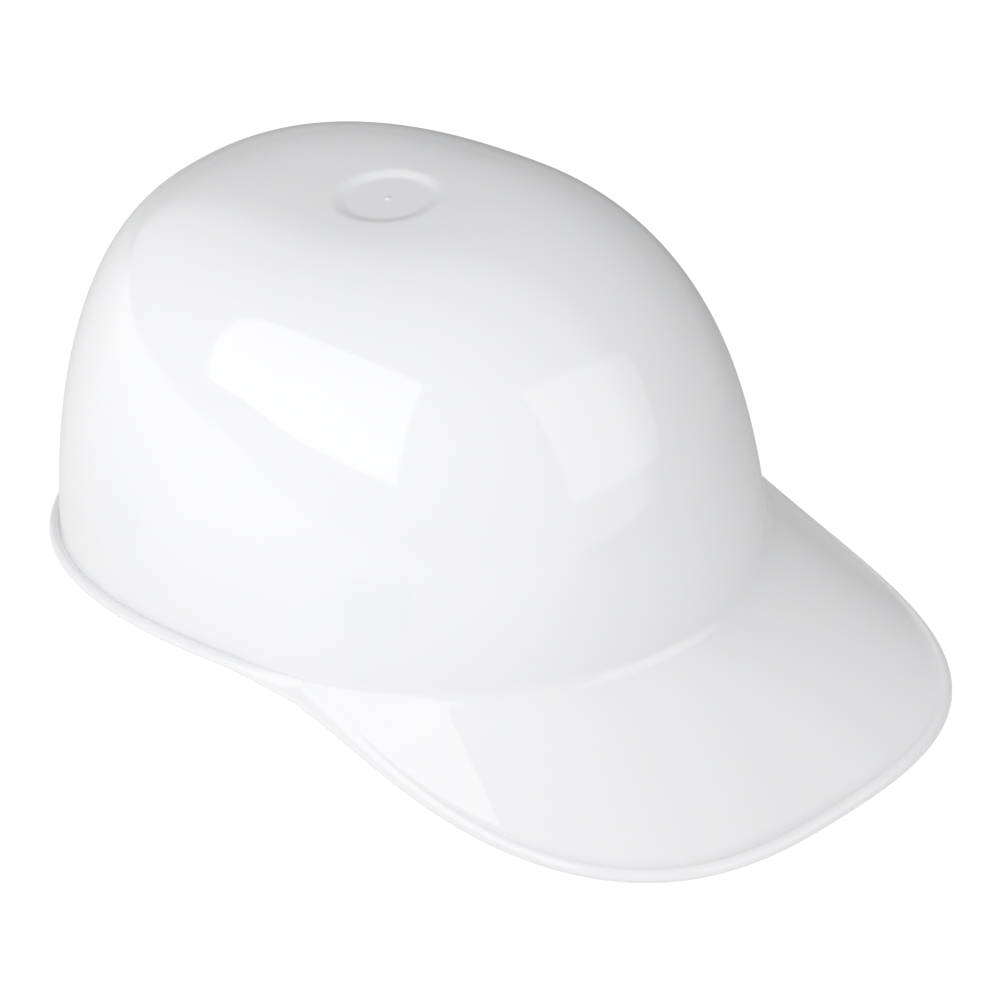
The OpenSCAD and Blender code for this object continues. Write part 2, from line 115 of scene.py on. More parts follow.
def number(name, value, description):
    return FloatProperty(name=name, description=description, default=value, precision=3)


def colour(name, value, description):
    return FloatVectorProperty(
        name=name, description=description, default=value, size=3, min=0.0, max=1.0, subtype="COLOR"
    )


class ShellSettings(bpy.types.PropertyGroup):
    half_width: length("Crown half width", 0.098, "Half the crown's width at its base")
    front: length("Crown front", 0.102, "Crown reach ahead of its widest point")
    rear: length("Crown rear", 0.143, "Crown reach behind its widest point")
    height: length("Crown height", 0.1155, "Height of the crown's top above the side rim")
    setback: length("Top setback", 0.016, "How far the top lies behind the widest point")
    wall: length("Wall", 0.002, "Moulded wall thickness")
    bill_reach: length("Bill reach", 0.063, "Bill reach ahead of the crown")
    bill_half_width: length("Bill half width", 0.098, "Half the bill's width")
    bill_start: length("Bill start", 0.044, "Where the bill's outline starts")
    flange: length("Flange", 0.0037, "Width of the flange at sides and rear")
    crease: length("Crease radius", 0.0032, "Radius between crown and bill")
    recess_radius: length("Recess radius", 0.0159, "Radius of the shallow round recess on top")
    recess_soft: length("Recess shoulder", 0.0058, "Width of the recess's soft shoulder")
    recess_depth: length("Recess depth", 0.0011, "Depth of the recess")
    columns: IntProperty(name="Columns", description="Mesh columns round the shell", default=360)
    tint: colour("Plastic", (0.875, 0.877, 0.89), "Colour of the white plastic")
    gloss: number("Roughness", 0.055, "Roughness of the polished outside")


class SuspensionSettings(bpy.types.PropertyGroup):
    edge: length("Edge rounding", 0.0003, "Rounding of the moulded edges")
    strap_width: length("Strap width", 0.015, "Width of the crown straps")
    strap_thickness: length("Strap thickness", 0.0011, "Thickness of the crown straps")
    strap_top: length("Strap top", 0.092, "Top of the lower crown strap above the side rim")
    stitch: length("Stitch", 0.0022, "Length of a stitch")
    thread: length("Thread", 0.00028, "Radius of the sewing thread")
    key_tint: colour("Keys", (0.62, 0.65, 0.68), "Colour of the hanger keys")
    band_tint: colour("Bands", (0.72, 0.74, 0.76), "Colour of headband and nape strap")
    stud_tint: colour("Buttons", (0.88, 0.89, 0.90), "Colour of buttons and studs")
    web_tint: colour("Webbing", (0.34, 0.37, 0.41), "Colour of the crown straps")


class PadSettings(bpy.types.PropertyGroup):
    swell: length("Swell", 0.0008, "Most that a pad's skin moves")
    hole: length("Perforation", 0.00055, "Radius of a perforation")
    pitch: length("Perforation pitch", 0.0034, "Distance between perforations")
    vinyl_tint: colour("Vinyl", (0.045, 0.045, 0.05), "Colour of sweatband and nape pad")
    knit_tint: colour("Knit", (0.12, 0.13, 0.15), "Colour of the crown pad")


class StageSettings(bpy.types.PropertyGroup):
    azimuth: number("Azimuth", -45.994, "Camera turn round the cap, in degrees")
    elevation: number("Elevation", 33.982, "Camera height above the horizon, in degrees")
    distance: length("Distance", 2.7798, "Camera distance")
    lens: number("Lens", 319.0, "Focal length in millimetres on a 36 mm sensor")
    sky: number("Sky", 0.8, "Mean brightness of the studio round the cap")
    sky_slope: FloatVectorProperty(
        name="Sky slope",
        description="Change of that brightness with direction",
        default=(0.132, -0.165, -0.095),
    )
    light_tint: colour("Light tint", (1.0, 1.0, 1.0), "Colour of the studio's soft light")
    dark_azimuth: number("Dark azimuth", 99.8, "Middle of the studio's dark side, in degrees")
    dark_elevation: number("Dark elevation", -12.0, "Height of the dark side's middle, in degrees")
    dark_radius: number("Dark radius", 59.0, "Half angle of the dark side, in degrees")
    dark_level: number("Dark level", 0.16, "Brightness left on the dark side, as a share of the rest")
    dark_edge: number("Dark edge", 13.0, "Width of the dark side's soft edge, in degrees")
    key_light: number("Key light", 1.12, "Brightness of the big softbox on the wearer's right")
    side_light: number("Side light", 0.7, "Brightness of the fainter softbox ahead of the bill")
    floor_fill: number("Floor fill", 0.62, "Light that the floor throws back on the cap")
    floor_slope: number("Floor slope", 0.42, "How much more of it comes from the key light's side")
    floor_white: number("Floor white", 0.97, "The floor's own brightness to the camera")


class CapSettings(bpy.types.PropertyGroup):
    shell: PointerProperty(type=ShellSettings)
    suspension: PointerProperty(type=SuspensionSettings)
    pads: PointerProperty(type=PadSettings)
    stage: PointerProperty(type=StageSettings)


def settings():
    return bpy.context.scene.bump_cap


# ---- frames ----
def pitched():
    return Matrix.Rotation(-REST_PITCH, 4, "X")


def rest_matrix():
    """From the cap's own upright frame to the frame that it rests in."""
    low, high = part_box("size_button_left")
    turned = pitched() @ Vector((0, BUTTON_PLACE, BUTTON_LEVEL))
    middle = (low + high) / 2
    return Matrix.Translation((0, middle.y - turned.y, middle.z - turned.z)) @ pitched()


def side_matrix(side):
    """1 keeps the wearer's left, -1 mirrors on to the right."""
    return Matrix.Diagonal((side, 1, 1, 1))


def plate_frame(front):
    """Outside face of the headband where a key hangs it: X points outwards."""
    if not front:
        place = (BAND_HALF_WIDTH + STRIP, BAND_END - REAR_TAB_REACH, 0)
        return Matrix.Translation(place)
    wide = BAND_HALF_WIDTH + STRIP
    long = BAND_FRONT + STRIP
    place = (wide * math.sin(FRONT_TAB_TURN), BAND_CENTRE - long * math.cos(FRONT_TAB_TURN), 0)
    heading = math.atan2(-math.cos(FRONT_TAB_TURN) / long, math.sin(FRONT_TAB_TURN) / wide)
    return Matrix.Translation(place) @ Matrix.Rotation(heading, 4, "Z")


def band_stud_frame(degrees):
    """Inside face of the headband at a sweatband stud: X points outwards."""
    t = math.radians(degrees)
    place = (BAND_HALF_WIDTH * math.sin(t), BAND_CENTRE - BAND_FRONT * math.cos(t), BUTTON_LEVEL)
    heading = math.atan2(-math.cos(t) / BAND_FRONT, math.sin(t) / BAND_HALF_WIDTH)
    return Matrix.Translation(place) @ Matrix.Rotation(heading, 4, "Z")


def nape_stud_frame(degrees):
    """Inside face of the nape strap at a pad stud: X points outwards."""
    t = math.radians(degrees)
    half = NAPE_HALF - STRIP
    reach = NAPE_REAR - STRIP - NAPE_CURVE_START
    place = (half * math.sin(t), NAPE_CURVE_START + reach * math.cos(t), BUTTON_LEVEL)
    heading = math.atan2(math.cos(t) / (NAPE_REAR - NAPE_CURVE_START), math.sin(t) / NAPE_HALF)
    return Matrix.Translation(place) @ Matrix.Rotation(heading, 4, "Z")


# ---- mesh helpers ----
def new_piece(name, points, faces, matrix=None, weld=0.0):
    """A mesh object in the resting frame, its doubles merged and its faces turned outwards."""
    mesh = bpy.data.meshes.new(name)
    mesh.from_pydata([tuple(p) for p in points], [], faces)
    if matrix is not None:
        mesh.transform(matrix)
    work = bmesh.new()
    work.from_mesh(mesh)
    if weld:
        bmesh.ops.remove_doubles(work, verts=work.verts, dist=weld)
    bmesh.ops.recalc_face_normals(work, faces=work.faces)
    work.to_mesh(mesh)
    work.free()
    piece = bpy.data.objects.new(name, mesh)
    bpy.context.scene.collection.objects.link(piece)
    return piece


def smooth(piece, degrees=180.0):
    piece.data.shade_smooth()
    if degrees < 180.0:
        piece.data.set_sharp_from_angle(angle=math.radians(degrees))


def paint(piece, material):
    piece.data.materials.clear()
    piece.data.materials.append(material)


def grid_faces(columns, rows, closed_rows=False, offset=0):
    """Quads of a grid that wraps round its columns; point i, k has index i * rows + k."""
    faces = []
    for i in range(columns):
        j = (i + 1) % columns
        for k in range(rows if closed_rows else rows - 1):
            m = (k + 1) % rows
            faces.append(
                (offset + i * rows + k, offset + i * rows + m, offset + j * rows + m, offset + j * rows + k)
            )
    return faces


def sweep_faces(rows, count):
    """Quads of a closed section swept over rows, with a face at each end."""
    faces = []
    for k in range(rows - 1):
        for i in range(count):
            j = (i + 1) % count
            faces.append((k * count + i, k * count + j, (k + 1) * count + j, (k + 1) * count + i))
    first, last = range(count), range((rows - 1) * count, rows * count)
    return faces + [tuple(reversed(first)), tuple(last)]


def fixed(piece):
    """Puts a piece's modifiers into its mesh."""
    bpy.context.view_layer.update()
    done = piece.evaluated_get(bpy.context.evaluated_depsgraph_get())
    mesh = bpy.data.meshes.new_from_object(done)
    piece.modifiers.clear()
    piece.data = mesh
    return piece


def catmull(points, steps):
    """A smooth line through the given points."""
    p = np.array(points, float)
    ends = np.vstack([2 * p[0] - p[1], p, 2 * p[-1] - p[-2]])
    line = []
    for i in range(len(p) - 1):
        a, b, c, d = ends[i : i + 4]
        square, cube = 2 * a - 5 * b + 4 * c - d, 3 * b - a - 3 * c + d
        for t in np.arange(steps) / steps:
            line.append(0.5 * (2 * b + (c - a) * t + square * t**2 + cube * t**3))
    return np.array(line + [p[-1]])


def path_length(places):
    """How far along a line each of its points lies."""
    return np.concatenate([[0], np.cumsum(np.linalg.norm(np.diff(places, axis=0), axis=1))])


def lathe(name, profile, matrices, segments=48, sharp=28.0):
    """Turned copies round the local X axis, one for each matrix.

    The profile's points are (along, radius) in millimetres, from tip to tip.
    """
    line = [(x * MM, r * MM) for x, r in profile]
    points = []
    faces = []
    for matrix in matrices:
        start = len(points)
        for i in range(segments):
            t = 2 * math.pi * i / segments
            for x, r in line[1:-1]:
                points.append(matrix @ Vector((x, r * math.cos(t), r * math.sin(t))))
        rows = len(line) - 2
        faces += grid_faces(segments, rows, offset=start)
        for x, k in ((line[0][0], 0), (line[-1][0], rows - 1)):
            tip = len(points)
            points.append(matrix @ Vector((x, 0, 0)))
            for i in range(segments):
                faces.append((tip, start + i * rows + k, start + (i + 1) % segments * rows + k))
    piece = new_piece(name, points, faces)
    smooth(piece, sharp)
    return piece


def rounded_copy(node, name, width):
    """A CAD node's shape with merged points and finely rounded edges."""
    piece = bpy.data.objects.new(name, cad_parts[node].data.copy())
    bpy.context.scene.collection.objects.link(piece)
    work = bmesh.new()
    work.from_mesh(piece.data)
    bmesh.ops.remove_doubles(work, verts=work.verts, dist=2e-6)
    bmesh.ops.dissolve_limit(work, angle_limit=math.radians(0.8), verts=work.verts, edges=work.edges)
    work.to_mesh(piece.data)
    work.free()
    bevel = piece.modifiers.new("edges", "BEVEL")
    bevel.width = width
    bevel.segments = 2
    bevel.limit_method = "ANGLE"
    bevel.angle_limit = math.radians(40)
    bevel.miter_outer = "MITER_ARC"
    smooth(piece)
    weighted = piece.modifiers.new("shading", "WEIGHTED_NORMAL")
    weighted.keep_sharp = True
    weighted.weight = 80
    return fixed(piece)


def finish_piece(piece, body, slot, nodes=(), painted=True):
    """Paints a piece in the finish that its slot names and puts it on its body; stitches and holes already have
    their own finish, so their slot is not used.
    """
    if painted:
        paint(piece, material(slot))
    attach(piece, body)
    if nodes:
        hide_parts(*nodes)
    return piece


# ---- shader groups ----
def new_tree(name, kind, inputs, floats, outputs):
    """An empty node group with (name, kind) inputs round its floats, and its two end nodes' sockets."""
    tree = bpy.data.node_groups.new(name, kind)
    add = tree.interface.new_socket
    before, after = inputs
    for label, socket in before:
        add(label, in_out="INPUT", socket_type=socket)
    for label, value in floats.items():
        add(label, in_out="INPUT", socket_type="NodeSocketFloat").default_value = value
    for label, socket in after:
        add(label, in_out="INPUT", socket_type=socket)
    for label, socket in outputs:
        add(label, in_out="OUTPUT", socket_type=socket)
    return tree, tree.nodes.new("NodeGroupInput").outputs, tree.nodes.new("NodeGroupOutput").inputs


def new_group(name, floats, outputs):
    """A shader group that takes a vector and floats, and puts out floats."""
    inputs = ([("Vector", "NodeSocketVector")], [])
    outputs = [(label, "NodeSocketFloat") for label in outputs]
    return new_tree(name, "ShaderNodeTree", inputs, floats, outputs)


MADE = {}


def once(maker):
    """What a maker makes, made the first time only."""
    if maker not in MADE:
        MADE[maker] = maker()
    return MADE[maker]


def feed(tree, made, inputs):
    """Links or sets a node's inputs, given by index or name."""
    for key, value in inputs.items():
        if isinstance(value, bpy.types.NodeSocket):
            tree.links.new(value, made.inputs[key])
        else:
            made.inputs[key].default_value = value
    return made


def node(tree, kind, inputs=None, **values):
    """Adds a node, sets its properties and feeds its inputs."""
    made = tree.nodes.new(kind)
    for key, value in values.items():
        setattr(made, key, value)
    return feed(tree, made, inputs or {})


def math_node(tree, operation, *values, clamp=False):
    made = node(tree, "ShaderNodeMath", dict(enumerate(values)), operation=operation)
    made.use_clamp = clamp
    return made.outputs[0]


def noise(tree, place, scale, detail=2.0, roughness=0.5):
    values = {"Vector": place, "Scale": scale, "Detail": detail, "Roughness": roughness}
    return node(tree, "ShaderNodeTexNoise", values).outputs[0]


def ranged(tree, mask, low, high, start=0.0, end=1.0, kind="LINEAR"):
    """Low where the mask is at its start, high where it is at its end."""
    values = {0: mask, 1: start, 2: end, 3: low, 4: high}
    return node(tree, "ShaderNodeMapRange", values, interpolation_type=kind).outputs[0]


def grain_group():
    """Fine moulding texture: a small even ripple and a slow wave."""
    sizes = {"Ripple scale": 900.0, "Ripple": 0.3, "Wave scale": 14.0, "Wave": 1.0}
    tree, source, sink = new_group("Moulded grain", sizes, ["Height", "Mask"])
    ripple = noise(tree, source["Vector"], source["Ripple scale"])
    wave = noise(tree, source["Vector"], source["Wave scale"], 1.0)
    low = math_node(tree, "MULTIPLY", ripple, source["Ripple"])
    high = math_node(tree, "MULTIPLY", wave, source["Wave"])
    tree.links.new(math_node(tree, "ADD", low, high), sink["Height"])
    tree.links.new(wave, sink["Mask"])
    return tree


def specks_group():
    """Sparse tiny specks and pits, as dust that was moulded in."""
    sizes = {"Scale": 60.0, "Size": 0.03, "Share": 0.05}
    tree, source, sink = new_group("Moulded specks", sizes, ["Mask"])
    cells = node(tree, "ShaderNodeTexVoronoi",
                 {"Vector": source["Vector"], "Scale": source["Scale"], "Randomness": 1.0})
    near = math_node(tree, "LESS_THAN", cells.outputs["Distance"], source["Size"])
    split = node(tree, "ShaderNodeSeparateColor", {0: cells.outputs["Color"]})
    few = math_node(tree, "LESS_THAN", split.outputs[0], source["Share"])
    tree.links.new(math_node(tree, "MULTIPLY", near, few), sink["Mask"])
    return tree


def scratch_group():
    """Fine handling scratches in two directions."""
    tree, source, sink = new_group("Handling scratches", {"Scale": 9.0}, ["Mask"])
    lines = []
    for turn, stretch in ((0.5, 34.0), (2.1, 26.0)):
        turned = node(tree, "ShaderNodeMapping", {"Vector": source["Vector"], "Rotation": (0.3, 0.2, turn),
                                                  "Scale": (1.0, stretch, 1.0)})
        streaks = noise(tree, turned.outputs[0], source["Scale"], 6.0, 0.7)
        lines.append(ranged(tree, streaks, 0.0, 1.0, 0.66, 0.74))
    tree.links.new(math_node(tree, "MAXIMUM", *lines), sink["Mask"])
    return tree


def edge_highlight_group():
    """A mask that is 1 on convex edges and broken up by noise, where a painted highlight lightens them."""
    tree, source, sink = new_group("Painted edge highlight", {"Amount": 1.0}, ["Mask"])
    geometry = node(tree, "ShaderNodeNewGeometry")
    edge = ranged(tree, geometry.outputs["Pointiness"], 0.0, 1.0, 0.52, 0.6)
    broken = math_node(tree, "MULTIPLY", edge, noise(tree, source["Vector"], 260.0, 3.0))
    tree.links.new(math_node(tree, "MULTIPLY", broken, source["Amount"], clamp=True), sink["Mask"])
    return tree


def weave_group():
    """Plain weave over a UV map in metres: threads over and under each other."""
    pitches = {"Warp pitch": 0.9 * MM, "Weft pitch": 1.1 * MM}
    tree, source, sink = new_group("Webbing weave", pitches, ["Height", "Shade"])
    split = node(tree, "ShaderNodeSeparateXYZ", {0: source["Vector"]})
    warp = math_node(tree, "DIVIDE", split.outputs[0], source["Warp pitch"])
    weft = math_node(tree, "DIVIDE", split.outputs[1], source["Weft pitch"])
    waves = []
    for value in (warp, weft):
        turned = math_node(tree, "MULTIPLY", value, math.pi)
        waves.append(math_node(tree, "ABSOLUTE", math_node(tree, "SINE", turned)))
    cell = math_node(tree, "ADD", math_node(tree, "FLOOR", warp), math_node(tree, "FLOOR", weft))
    odd = math_node(tree, "PINGPONG", cell, 1.0)
    over = math_node(tree, "MULTIPLY", waves[0], odd)
    even = math_node(tree, "SUBTRACT", 1.0, odd)
    under = math_node(tree, "MULTIPLY", waves[1], even)
    height = math_node(tree, "ADD", over, under)
    fibres = noise(tree, source["Vector"], 1800.0)
    # Shade: the fibres' own random tone plus painted shade that darkens the dips between threads.
    shade = math_node(tree, "MULTIPLY_ADD", fibres, 0.5, math_node(tree, "MULTIPLY", height, 0.5))
    tree.links.new(height, sink["Height"])
    tree.links.new(shade, sink["Shade"])
    return tree


def group(tree, maker, inputs):
    """The outputs of a node that places the shader group of a maker."""
    return feed(tree, node(tree, "ShaderNodeGroup", node_tree=once(maker)), inputs).outputs


# ---- materials ----
def new_material(name, colour_value, roughness):
    made = bpy.data.materials.new(name)
    made.use_nodes = True
    tree = made.node_tree
    tree.nodes.clear()
    out = node(tree, "ShaderNodeOutputMaterial")
    look = {"Base Color": (*colour_value, 1.0), "Roughness": roughness}
    shader = node(tree, "ShaderNodeBsdfPrincipled", look)
    tree.links.new(shader.outputs[0], out.inputs[0])
    place = node(tree, "ShaderNodeTexCoord")
    return made, tree, shader, place.outputs["Object"]


def scaled(value, factor):
    return tuple(min(1.0, channel * factor) for channel in value)


def mixed(tree, mask, first, second):
    """A colour that goes from first to second by a mask."""
    return node(tree, "ShaderNodeMix", {0: mask, 6: first, 7: second}, data_type="RGBA").outputs[2]


def tinted(tree, mask, dark, light):
    """A colour between dark and light by a mask."""
    return mixed(tree, mask, (*dark, 1.0), (*light, 1.0))


def blended(tree, mask, first, second):
    """A colour socket turned towards a fixed colour by a mask."""
    return mixed(tree, mask, first, (*second, 1.0))


def bump(tree, height, distance, strength=1.0):
    values = {"Height": height, "Distance": distance, "Strength": strength}
    return node(tree, "ShaderNodeBump", values).outputs[0]


def shell_plastic():
    """Polished white plastic with a faint moulded wave, few specks and light handling scratches."""
    s = settings().shell
    made, tree, shader, place = new_material("shell_plastic", s.tint, s.gloss)
    grain = group(tree, grain_group, {"Vector": place, "Ripple scale": 700.0, "Ripple": 0.012,
                                      "Wave scale": 22.0, "Wave": 1.0})
    specks = group(tree, specks_group, {"Vector": place, "Scale": 70.0, "Size": 0.035, "Share": 0.045})
    scratch = group(tree, scratch_group, {"Vector": place})
    base = tinted(tree, grain["Mask"], scaled(s.tint, 0.985), scaled(s.tint, 1.01))
    feed(tree, shader, {
        "Base Color": blended(tree, specks["Mask"], base, (0.42, 0.41, 0.40)),
        "Roughness": ranged(tree, scratch["Mask"], s.gloss, s.gloss + 0.16),
        "IOR": 1.58,
        "Subsurface Weight": 0.12,
        "Subsurface Radius": (1.0, 0.9, 0.8),
        "Subsurface Scale": 4.0 * MM,
        "Normal": bump(tree, grain["Height"], 0.45 * MM, 0.35),
    })
    return made


def satin_plastic(name, tint, rough=0.42):
    """Satin moulded plastic with fine grain and a painted highlight that lightens its convex edges."""
    made, tree, shader, place = new_material(name, tint, rough)
    grain = group(tree, grain_group, {"Vector": place, "Ripple scale": 2200.0, "Ripple": 0.7,
                                      "Wave scale": 60.0, "Wave": 0.4})
    edge_highlight = group(tree, edge_highlight_group, {"Vector": place, "Amount": 1.2})
    scratch = group(tree, scratch_group, {"Vector": place, "Scale": 30.0})
    base = tinted(tree, grain["Mask"], scaled(tint, 0.94), scaled(tint, 1.04))
    feed(tree, shader, {
        # Convex edges blend towards a paler tint: a painted highlight.
        "Base Color": blended(tree, edge_highlight["Mask"], base, scaled(tint, 1.25)),
        "Roughness": ranged(tree, scratch["Mask"], rough, rough - 0.12),
        "Specular IOR Level": 0.45,
        "Normal": bump(tree, grain["Height"], 0.06 * MM, 0.5),
    })
    return made


def webbing():
    """Woven strap, with painted shade that darkens it between its threads."""
    tint = settings().suspension.web_tint
    made, tree, shader, _ = new_material("webbing", tint, 0.85)
    flat = node(tree, "ShaderNodeUVMap", uv_map="fabric")
    weave = group(tree, weave_group, {"Vector": flat.outputs[0]})
    feed(tree, shader, {
        # Dark in the dips between threads: painted shade.
        "Base Color": tinted(tree, weave["Shade"], scaled(tint, 0.5), scaled(tint, 1.3)),
        "Sheen Weight": 0.25,
        "Sheen Roughness": 0.5,
        "Normal": bump(tree, weave["Height"], 0.22 * MM, 0.9),
    })
    return made


def thread(tint):
    """Twisted sewing thread."""
    made, tree, shader, place = new_material("sewing_thread", tint, 0.6)
    twist = noise(tree, place, 5000.0, 1.0)
    feed(tree, shader, {
        "Base Color": tinted(tree, twist, scaled(tint, 0.6), scaled(tint, 1.2)),
        "Normal": bump(tree, twist, 0.08 * MM),
    })
    return made


def vinyl():
    """Soft black vinyl with fine pebbles and creases."""
    tint = settings().pads.vinyl_tint
    made, tree, shader, place = new_material("sweatband_vinyl", tint, 0.5)
    cells = node(tree, "ShaderNodeTexVoronoi", {"Vector": place, "Scale": 900.0}, feature="SMOOTH_F1")
    pebbles = cells.outputs["Distance"]
    creases = noise(tree, place, 120.0, 5.0)
    height = math_node(tree, "MULTIPLY_ADD", creases, 0.8, pebbles)
    feed(tree, shader, {
        "Base Color": tinted(tree, creases, scaled(tint, 0.75), scaled(tint, 1.5)),
        "Roughness": ranged(tree, pebbles, 0.42, 0.62),
        "Normal": bump(tree, height, 0.22 * MM, 0.7),
    })
    return made


def knit():
    """Spacer knit with a regular pattern of small holes, seen from above or below, the holes darkened by
    painted shade.
    """
    tint = settings().pads.knit_tint
    made, tree, shader, place = new_material("pad_knit", tint, 0.9)
    level = node(tree, "ShaderNodeMapping", {"Vector": place, "Rotation": (REST_PITCH, 0, 0)})
    cells = node(tree, "ShaderNodeTexVoronoi",
                 {"Vector": level.outputs[0], "Scale": 560.0, "Randomness": 0.1}, voronoi_dimensions="2D")
    fluff = noise(tree, place, 1500.0, 3.0)
    # Darkest in the holes and lighter between them: painted shade; the fluff noise is the knit's own tone.
    deep = ranged(tree, cells.outputs["Distance"], 0.0, 1.0, 0.12, 0.42)
    shade = math_node(tree, "MULTIPLY_ADD", fluff, 0.35, math_node(tree, "MULTIPLY", deep, 0.7))
    feed(tree, shader, {
        "Base Color": tinted(tree, shade, scaled(tint, 0.25), scaled(tint, 1.7)),
        "Sheen Weight": 0.35,
        "Normal": bump(tree, shade, 0.3 * MM, 0.9),
    })
    return made


def hole_painted_shade():
    """Painted shade for the inside of a punched hole: a near black disc stands where the hole is."""
    made, tree, shader, place = new_material("perforation_painted_shade", (0.01, 0.01, 0.01), 0.9)
    shade = tinted(tree, noise(tree, place, 3000.0), (0.006, 0.006, 0.006), (0.02, 0.02, 0.02))
    feed(tree, shader, {"Base Color": shade})
    return made


MATERIALS = {}


def material(name):
    """The named finish, made once."""
    s = settings().suspension
    makers = {
        "shell_plastic": shell_plastic,
        "key_plastic": lambda: satin_plastic("key_plastic", s.key_tint),
        "band_plastic": lambda: satin_plastic("band_plastic", s.band_tint, 0.38),
        "stud_plastic": lambda: satin_plastic("stud_plastic", s.stud_tint, 0.3),
        "webbing": webbing,
        "light_thread": lambda: thread((0.62, 0.64, 0.67)),
        "sweatband_vinyl": vinyl,
        "pad_fabric": knit,
        "perforation_painted_shade": hole_painted_shade,
    }
    if name not in MATERIALS:
        MATERIALS[name] = makers[name]()
    return MATERIALS[name]


# ---- shell shape ----
class ShellShape:
    """The shell's surfaces in its own upright frame; bearing 0 is straight ahead."""

    plan_front = 2.03
    plan_rear = 2.31
    shoulder_front = 3.05
    shoulder_side = 3.37
    shoulder_rear = 3.73
    rise = 2.59
    draft = 0.08
    setback_power = 4.5
    rim_slope = 0.046
    front_dip = 0.010
    rear_dip = 0.0036
    bill_power = 3.0
    corner_blend = 80.0
    droop_even = 0.010
    droop_corner = 0.012
    droop_tip = 0.028
    edge_fall = 0.001
    corner_reach = 1.6
    widest_bill = 0.26
    row_bunching = 1.7
    soft_middle = 0.54
    bead_width = 3.7 * MM
    crease_share = 0.08
    least_gap = 0.02 * MM
    under_bill = -2.3 * MM
    under_flange = -2.1 * MM
    wall_join = 0.6 * MM
    wall_start = 0.01
    nub_height = 0.35 * MM
    nub = ((0.3, 0.34), (0.6, 0.3), (0.8, 0.2), (0.95, 0.08), (1.2, 0.01), (2.2, 0), (4, 0), (6, 0), (8, 0),
           (10, 0), (11.8, 0))
    bead = ((-3.7, 0), (-3.1, 0.32), (-2.2, 0.7), (-1.1, 0.68), (-0.3, 0.22),
            (0, -0.7), (-0.3, -1.7), (-1.2, -2.4), (-2.4, -2.5), (-3.7, -2.3))

    def __init__(self, s):
        self.s = s

    def oval(self, a, wide, long, power):
        return ((abs(np.sin(a)) / wide) ** power + (abs(np.cos(a)) / long) ** power) ** (-1 / power)

    def base_radius(self, a):
        s = self.s
        return np.where(
            np.cos(a) >= 0,
            self.oval(a, s.half_width, s.front, self.plan_front),
            self.oval(a, s.half_width, s.rear, self.plan_rear),
        )

    def base_level(self, a):
        c = np.cos(a)
        return (self.rim_slope * self.base_radius(a) * c
                - self.front_dip * np.clip(c, 0, 1) ** 2 - self.rear_dip * np.clip(-c, 0, 1) ** 2)

    def shoulder(self, a):
        end = np.where(np.cos(a) >= 0, self.shoulder_front, self.shoulder_rear)
        return self.shoulder_side + (end - self.shoulder_side) * np.cos(a) ** 2

    def crown_point(self, a, up, inset=0.0):
        """A point at a bearing and a share of the height, inset from the outside."""
        s = self.s
        lift = np.arcsin(np.clip(up, 0, 1) ** (self.rise / 2))
        share = np.cos(lift) ** (2 / self.shoulder(a)) * (1 + self.draft * (1 - up)) / (1 + self.draft)
        q = share * (self.base_radius(a) - inset)
        z = self.base_level(a) * (1 - up) + (s.height - inset) * up
        return np.stack([q * np.sin(a), -q * np.cos(a) + s.setback * up**self.setback_power, z + 0 * q], -1)

    def up_at(self, a, q, inset=0.0):
        """The share of the height at which the crown has a radius."""
        share = np.clip(q * (1 + self.draft) / (self.base_radius(a) - inset), 0, 1)
        return np.sqrt(1 - share ** self.shoulder(a)) ** (2 / self.rise)

    def bill_radius(self, a):
        """Where the bill's outline lies at a bearing, found by halving."""
        s = self.s
        low = np.full_like(a, 1.0 * MM)
        high = np.full_like(a, self.widest_bill)
        for _ in range(30):
            q = (low + high) / 2
            ahead = np.clip(q * np.cos(a) - s.bill_start, 0, None)
            miss = ((q * abs(np.sin(a)) / s.bill_half_width) ** self.bill_power
                    + (ahead / (s.front + s.bill_reach - s.bill_start)) ** self.bill_power - 1)
            low = np.where(miss < 0, q, low)
            high = np.where(miss < 0, high, q)
        return low

    def edge_radius(self, a):
        """The outer edge: the bill ahead, the flange behind, and a soft corner where they meet."""
        q = self.base_radius(a) + self.s.flange
        b = self.bill_radius(a)
        n = self.corner_blend
        ratio = np.minimum(b / q, self.corner_reach)
        soft = q * (1 + ratio**n) ** (1 / n)
        soft = np.where(b >= self.corner_reach * q, b, soft)
        spare = (q * 2 ** (1 / n) - q) * np.minimum(ratio, 1) ** n
        soft = soft - np.where(b < q, spare, 0)
        return np.where(np.cos(a) <= 0, q, soft)

    def droop(self, a):
        """How far the bill's edge falls below the crown's base."""
        c = np.clip(np.cos(a), 0, 1)
        corners = np.where(c > 0, self.droop_corner * np.sin(2 * a) ** 2, 0)
        return self.droop_even * c + corners + self.droop_tip * c**4

    def bill_point(self, a, q, edge, rise=0.0):
        r = self.base_radius(a)
        z = self.base_level(a) - (self.droop(a) + self.edge_fall) * (q - r) / (edge - r)
        return np.stack([q * np.sin(a), -q * np.cos(a), z + rise], -1)

    def flat_point(self, a, q, z):
        return np.stack([q * np.sin(a), self.s.setback - q * np.cos(a), z + 0 * a], -1)

    def crown_rows(self, a, start, end, count, inset=0.0):
        """Rows from share-up start to end, evenly spread over the curve."""
        power = self.row_bunching

        def place(up):
            return (1 - np.arcsin(np.clip(up, 0, 1) ** (self.rise / 2)) / (math.pi / 2)) ** (1 / power)

        first, last = place(start), place(end)
        rows = []
        for t in np.linspace(0, 1, count):
            turn = math.pi / 2 * (1 - (first + (last - first) * t) ** power)
            rows.append(self.crown_point(a, np.sin(turn) ** (2 / self.rise), inset))
        return rows

